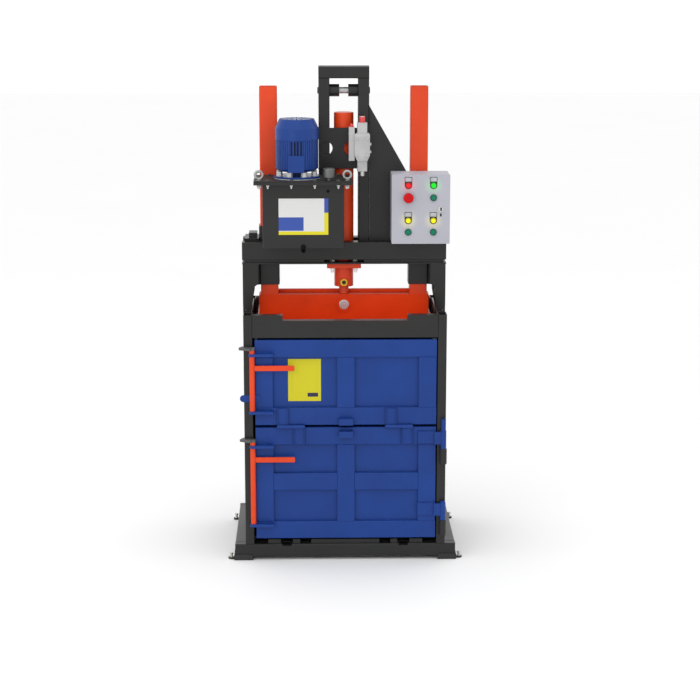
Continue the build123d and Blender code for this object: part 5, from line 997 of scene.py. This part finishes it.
def fill_gasket(form):
    """A round rubber seal along the four edges of the cabinet door's back."""
    left, right = inset((cab_left, cab_right), GASKET_INSET, GASKET_INSET)
    low, high = inset((cab_low, cab_high), GASKET_INSET, GASKET_INSET)
    places = [(x, cab_door_back - GASKET_SUNK, z)
              for x, z in ((left, low), (right, low), (right, high), (left, high))]
    for start, end in zip(places, places[1:] + places[:1]):
        add_bar(form, start, end, GASKET_RADIUS, 8)


add_piece("door gasket", fill_gasket, "cabinet_door", "rubber", gasket)


# Oil unit

LID_COLUMNS = 4
BOLT_HALF_X, BOLT_HALF_Y = 0.0065, 0.0075       # half of a hexagon head
RIM_THICK = 0.008
WASHER_SET = 0.0007
LID_WASHER = {"Radius": 0.0095, "Height": 0.0015}
TAIL_OUTLINE = [(0.0, 0.0075), (0.0024, 0.0072), (0.0040, 0.0050), (0.0040, 0.0), (0.0, 0.0)]
DOME_OUTLINE = [(0.0, 0.0100), (0.0042, 0.0092), (0.0078, 0.0060), (0.0092, 0.0020), (0.0092, 0.0),
                (0.0, 0.0)]
EYE_OUT = 0.0225        # from the end of the eyes' box to an eye's middle
lid_spots = bolt_grid("lid_bolts", BOLT_HALF_X, BOLT_HALF_Y, LID_COLUMNS)
rim_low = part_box("oil_tank")[1].z - RIM_THICK
washer_places = [(x, y, z) for x, y in lid_spots for z in (lid_top + WASHER_SET, rim_low - WASHER_SET)]
washer_ring.run("lid washers", washer_places, LID_WASHER, "frame", "zinc", lid_fasteners)
bolt_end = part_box("lid_bolts")[0].z
eye_low, eye_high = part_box("lifting_eyes")
eye_y = middle("lifting_eyes")[1]


def fill_nut_ends(form):
    """Thread ends below the lid bolts, and domed nuts below the lifting eyes."""
    for x, y in lid_spots:
        add_turned(form, TAIL_OUTLINE, (x, y, bolt_end), DOWN, 16)
    for x in (eye_low.x + EYE_OUT, eye_high.x - EYE_OUT):
        add_turned(form, DOME_OUTLINE, (x, eye_y, eye_low.z), DOWN, 24)


add_piece("nut ends", fill_nut_ends, "frame", "zinc", bolt_silver)


# Motor

FLANGE_THICK = 0.013
STUDS = 8
STUD_REACH = 0.0835
FLANGE_NUT = {"Radius": 0.0130, "Height": 0.0180}
FLANGE_NUT_RISE = 0.0106
FLANGE_WASHER = {"Radius": 0.0145, "Height": 0.0015}
WASHER_RISE = 0.0008
SEAT_OUTLINE = [(0.1001, 0.0004), (0.1016, 0.0010), (0.1016, 0.0042), (0.1001, 0.0048),
                (0.1001, 0.0004)]
motor_x, motor_y, _ = middle("motor_body")
flange_top = lid_top + FLANGE_THICK


def round_motor(radius, count, shift, z):
    """Places evenly round the motor's axis, the first one turned by a share of a step."""
    angles = [2 * pi * (index + shift) / count for index in range(count)]
    return [(motor_x + radius * cos(angle), motor_y + radius * sin(angle), z) for angle in angles]


nut_places = round_motor(STUD_REACH, STUDS, 0.5, flange_top + FLANGE_NUT_RISE)
washer_places = round_motor(STUD_REACH, STUDS, 0.5, flange_top + WASHER_RISE)
nut_ring.run("motor flange nuts", nut_places, FLANGE_NUT, "frame", "zinc", bolt_silver)
washer_ring.run("motor flange washers", washer_places, FLANGE_WASHER, "frame", "zinc", bolt_silver)
add_turned_piece("motor seat ring", SEAT_OUTLINE, (motor_x, motor_y, lid_top), UP,
                 "zinc", bolt_silver, 72)

SCREW_HEAD = [(0.0, 0.0026), (0.0022, 0.0024), (0.0036, 0.0014), (0.0040, 0.0), (0.0, 0.0)]
SCREW_RISE = 0.009
VENT_SHIFTS = (-0.022, -0.008, 0.005, 0.020)
VENT_SHADE_SHEET = ((-0.0034, -0.0872, 0.0006), (0.0034, -0.0862, 0.0594), 0.0002, 1)
PAD_RISE = 0.021        # from the flange to the terminal pad, and from there to the slots over it
VENT_RISE = 0.074
GRILLE_HOLES = 44
GRILLE_REACH = 0.0725
GRILLE_SET = 0.0001
GRILLE_HOLE_SHADE = {"Radius": 0.0026, "Height": 0.0006}
cover_low, cover_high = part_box("fan_cover")
cover_radius = (cover_high.x - cover_low.x) / 2
vent_places = [(motor_x + shift, motor_y, flange_top + PAD_RISE + VENT_RISE) for shift in VENT_SHIFTS]


def fill_cover_screws(form):
    """Four screws round the foot of the fan cover."""
    for quarter in range(4):
        angle = radians(45 + 90 * quarter)
        way = Vector((cos(angle), sin(angle), 0.0))
        foot = Vector((motor_x, motor_y, cover_low.z + SCREW_RISE))
        add_turned(form, SCREW_HEAD, foot + cover_radius * way, way, 16)


add_piece("cover screws", fill_cover_screws, "frame", "zinc", motor_enamel)
# Painted shade: dark sheets at the bottoms of the motor's vent slots stand in for the shade inside them.
add_blocks("vent shade sheets", vent_places, VENT_SHADE_SHEET, "frame", "black_plastic", vent_painted_shade)
# Painted shade: dark discs on the fan cover's top stand in for the shade in its grille holes.
washer_ring.run("grille hole shade", round_motor(GRILLE_REACH, GRILLE_HOLES, 0, cover_high.z + GRILLE_SET),
                GRILLE_HOLE_SHADE, "frame", "black_plastic", vent_painted_shade)


# Anchors, plugs and the rod's seal

EAR_TOP = 0.008
ANCHOR_HALF_X, ANCHOR_HALF_Y = 0.0078, 0.009
ANCHOR_WASHER = {"Radius": 0.0105, "Height": 0.0015}
THREAD_TURN = {"Radius": 0.0054, "Height": 0.0007}
THREAD_RISE = 0.0025
THREAD_PITCH = 0.0014
THREAD_TURNS = 8
anchors = bolt_grid("anchor_bolts", ANCHOR_HALF_X, ANCHOR_HALF_Y)
washer_places = [(x, y, EAR_TOP + WASHER_RISE) for x, y in anchors]
thread_places = [(x, y, EAR_TOP + THREAD_RISE + THREAD_PITCH * turn)
                 for x, y in anchors for turn in range(THREAD_TURNS)]
washer_ring.run("anchor washers", washer_places, ANCHOR_WASHER, "frame", "zinc", zinc_plate)
washer_ring.run("anchor threads", thread_places, THREAD_TURN, "frame", "zinc", zinc_plate)

PLUG_OUTLINE = [(0.0, 0.006), (0.0050, 0.006), (0.0060, 0.005), (0.0060, 0.0), (0.0, 0.0)]
PLUG_X = -0.074
PLUG_DROP = 0.030
add_turned_piece("tank side plug", PLUG_OUTLINE, (PLUG_X, tank_front, rim_low - PLUG_DROP), FORWARD,
                 "black_plastic", jet_plastic, 20)

PORT_RISE = 0.021
PORT_REACH = 0.0495
PORT_DEPTH = 0.004
RING_OUTLINE = [(0.0095, 0.0), (0.0095, 0.0022), (0.0110, 0.0034), (0.0150, 0.0034), (0.0165, 0.0022),
                (0.0165, 0.0), (0.0095, 0.0)]
BORE_OUTLINE = [(0.0, 0.0), (0.0086, 0.0), (0.0086, 0.0012), (0.0, 0.0012)]
WIPER_OUTLINE = [(0.0222, 0.0), (0.0222, 0.0030), (0.0300, 0.0030), (0.0300, 0.0), (0.0222, 0.0)]
press_y = middle("cylinder_barrel")[1]
port_z = gland_low + PORT_RISE
port_y = press_y - PORT_REACH
add_turned_piece("port ring", RING_OUTLINE, (0.0, port_y, port_z), FORWARD, "lamp_glass", ring_yellow)
add_turned_piece("port plug", BORE_OUTLINE, (0.0, port_y + PORT_DEPTH, port_z), FORWARD,
                 "rubber", gasket)
add_turned_piece("rod wiper", WIPER_OUTLINE, (0.0, press_y, gland_low), DOWN, "rubber", gasket)


# Valve

NUT_CAP = (0.0135, 0.029)       # radius and height
NUT_CAP_DROP = 0.0285
SIDE_CAP = (0.0075, 0.014)
SIDE_BLOCK_IN = 0.013
SIDE_BLOCK_BACK = 0.025
BODY_RISE = 0.047
BODY_HEIGHT = 0.150
SIDE_PLUG = [(0.0, 0.007), (0.0075, 0.007), (0.0085, 0.006), (0.0085, 0.0), (0.0, 0.0)]
SIDE_PLUG_HEIGHTS = (1.862, 1.828)
SOCKET_SCREW = [(0.0, 0.003), (0.0030, 0.003), (0.0032, 0.006), (0.0052, 0.006), (0.0055, 0.0052),
                (0.0055, 0.0), (0.0, 0.0)]
SCREW_OUT = 0.022
SCREW_HEIGHTS = (1.815, 1.890)
valve_low, valve_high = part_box("valve_body")
valve_x, valve_y, _ = middle("valve_coils")


def add_dust_cap(name, radius, height, place):
    """A red dust cap with a rounded top, on an upright stub."""
    outline = [(0.0, height), (radius * 0.7, height), (radius * 0.93, height * 0.93),
               (radius, height * 0.8), (radius, 0.0), (0.0, 0.0)]
    add_turned_piece(name, outline, place, UP, "red_plastic", cap_red)


def fill_valve_plugs(form):
    """Hexagon plugs on the right side of the valve body, and the screws that hold it."""
    for z in SIDE_PLUG_HEIGHTS:
        add_turned(form, SIDE_PLUG, (valve_high.x, valve_y, z), RIGHT, 6)
    for x in (valve_x - SCREW_OUT, valve_x + SCREW_OUT):
        for z in SCREW_HEIGHTS:
            add_turned(form, SOCKET_SCREW, (x, valve_low.y, z), FORWARD, 20)


nut_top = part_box("valve_nuts")[1].z
block_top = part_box("valve_coils")[0].z + BODY_RISE + BODY_HEIGHT
add_dust_cap("upper dust cap", *NUT_CAP, (valve_x, valve_y, nut_top - NUT_CAP_DROP))
add_dust_cap("side dust cap", *SIDE_CAP,
             (valve_low.x + SIDE_BLOCK_IN, valve_high.y - SIDE_BLOCK_BACK, block_top))
add_piece("valve plugs", fill_valve_plugs, "frame", "zinc", zinc_plate)


# Inside the cabinet

DUCT_RISE, DUCT_DROP = 0.118, 0.014     # from the bottom and the top of the switchgear
FINGERS = 26
FINGER_START = 0.004
FINGER_PITCH = 0.0081
FINGER_BACK = 0.0245
FINGER_ROWS = (0.001, 0.025)
FINGER_SIZE = {"Width": 0.005, "Depth": 0.045, "Height": 0.0016}
gear_low, gear_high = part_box("switchgear")
duct_lows = (gear_low.z + DUCT_RISE, gear_high.z - DUCT_DROP)
DUCT_LID = ((0.0, -0.050, 0.0), (gear_high.x - gear_low.x, -0.047, 0.026), 0.0008, 1)
duct_places = [(gear_low.x, gear_high.y, z) for z in duct_lows]
add_blocks("duct lids", duct_places, DUCT_LID, "frame", "switch_plastic", gear_plastic)
finger_places = [(gear_low.x + FINGER_START + index * FINGER_PITCH, gear_high.y - FINGER_BACK, z + row)
                 for z in duct_lows for row in FINGER_ROWS for index in range(FINGERS)]
finger.run("duct fingers", finger_places, FINGER_SIZE, "frame", "switch_plastic", gear_plastic, 20.0)


# Stage, light and camera

FLOOR_REACH = 30.0
FLOOR_TONES = ((0.86, 0.86, 0.86), (0.88, 0.88, 0.88))
SKY_STRENGTH = 1.12
CAMERA_PITCH = 11.9     # degrees below the horizon, and to the side
CAMERA_YAW = 1.195
CAMERA_X, CAMERA_OFF, CAMERA_Z = -0.1462, 8.0338, 2.6675


def build_stage():
    """A wide pale floor."""
    mesh = bpy.data.meshes.new("studio floor")
    spots = [(x * FLOOR_REACH, y * FLOOR_REACH, 0.0) for x, y in ((-1, -1), (1, -1), (1, 1), (-1, 1))]
    mesh.from_pydata(spots, [], [(0, 1, 2, 3)])
    floor = bpy.data.objects.new("studio floor", mesh)
    bpy.context.scene.collection.objects.link(floor)
    finish = Finish("studio floor", roughness=0.75, specular_ior_level=0.15)
    finish.set("Base Color", finish.mix(finish.noise(0.6, 2.0, 0.5), *FLOOR_TONES))
    mesh.materials.append(finish.material)


def add_softbox(name, place, target, side, power):
    """A large square soft light that points at a target."""
    light = bpy.data.lights.new(name, "AREA")
    light.shape = "RECTANGLE"
    light.size = light.size_y = side
    light.energy = power
    lamp = bpy.data.objects.new(name, light)
    lamp.location = place
    lamp.rotation_euler = (Vector(target) - Vector(place)).to_track_quat("-Z", "Y").to_euler()
    bpy.context.scene.collection.objects.link(lamp)


def light_world():
    """Even white light from all round, shown without a film look."""
    world = bpy.data.worlds.new("studio")
    world.use_nodes = True
    background = world.node_tree.nodes["Background"]
    background.inputs["Color"].default_value = (1.0, 1.0, 1.0, 1.0)
    background.inputs["Strength"].default_value = SKY_STRENGTH
    bpy.context.scene.world = world
    bpy.context.scene.view_settings.view_transform = "Standard"


def place_camera():
    """The photograph's view, level and from a little above."""
    lens = bpy.data.cameras.new("photo camera")
    lens.sensor_width = 36.0
    lens.lens = 95.04
    lens.clip_end = 100.0
    camera = bpy.data.objects.new("photo camera", lens)
    camera.location = (CAMERA_X, face - CAMERA_OFF, CAMERA_Z)
    camera.rotation_euler = (radians(90.0 - CAMERA_PITCH), 0.0, -radians(CAMERA_YAW))
    bpy.context.scene.collection.objects.link(camera)
    bpy.context.scene.camera = camera


build_stage()
add_softbox("overhead softbox", place=(-0.4, -1.2, 6.0), target=(0.0, 0.0, 0.9), side=4.0, power=50.0)
add_softbox("front softbox", place=(-2.8, -5.5, 3.2), target=(0.0, 0.0, 1.1), side=2.6, power=50.0)
light_world()
place_camera()
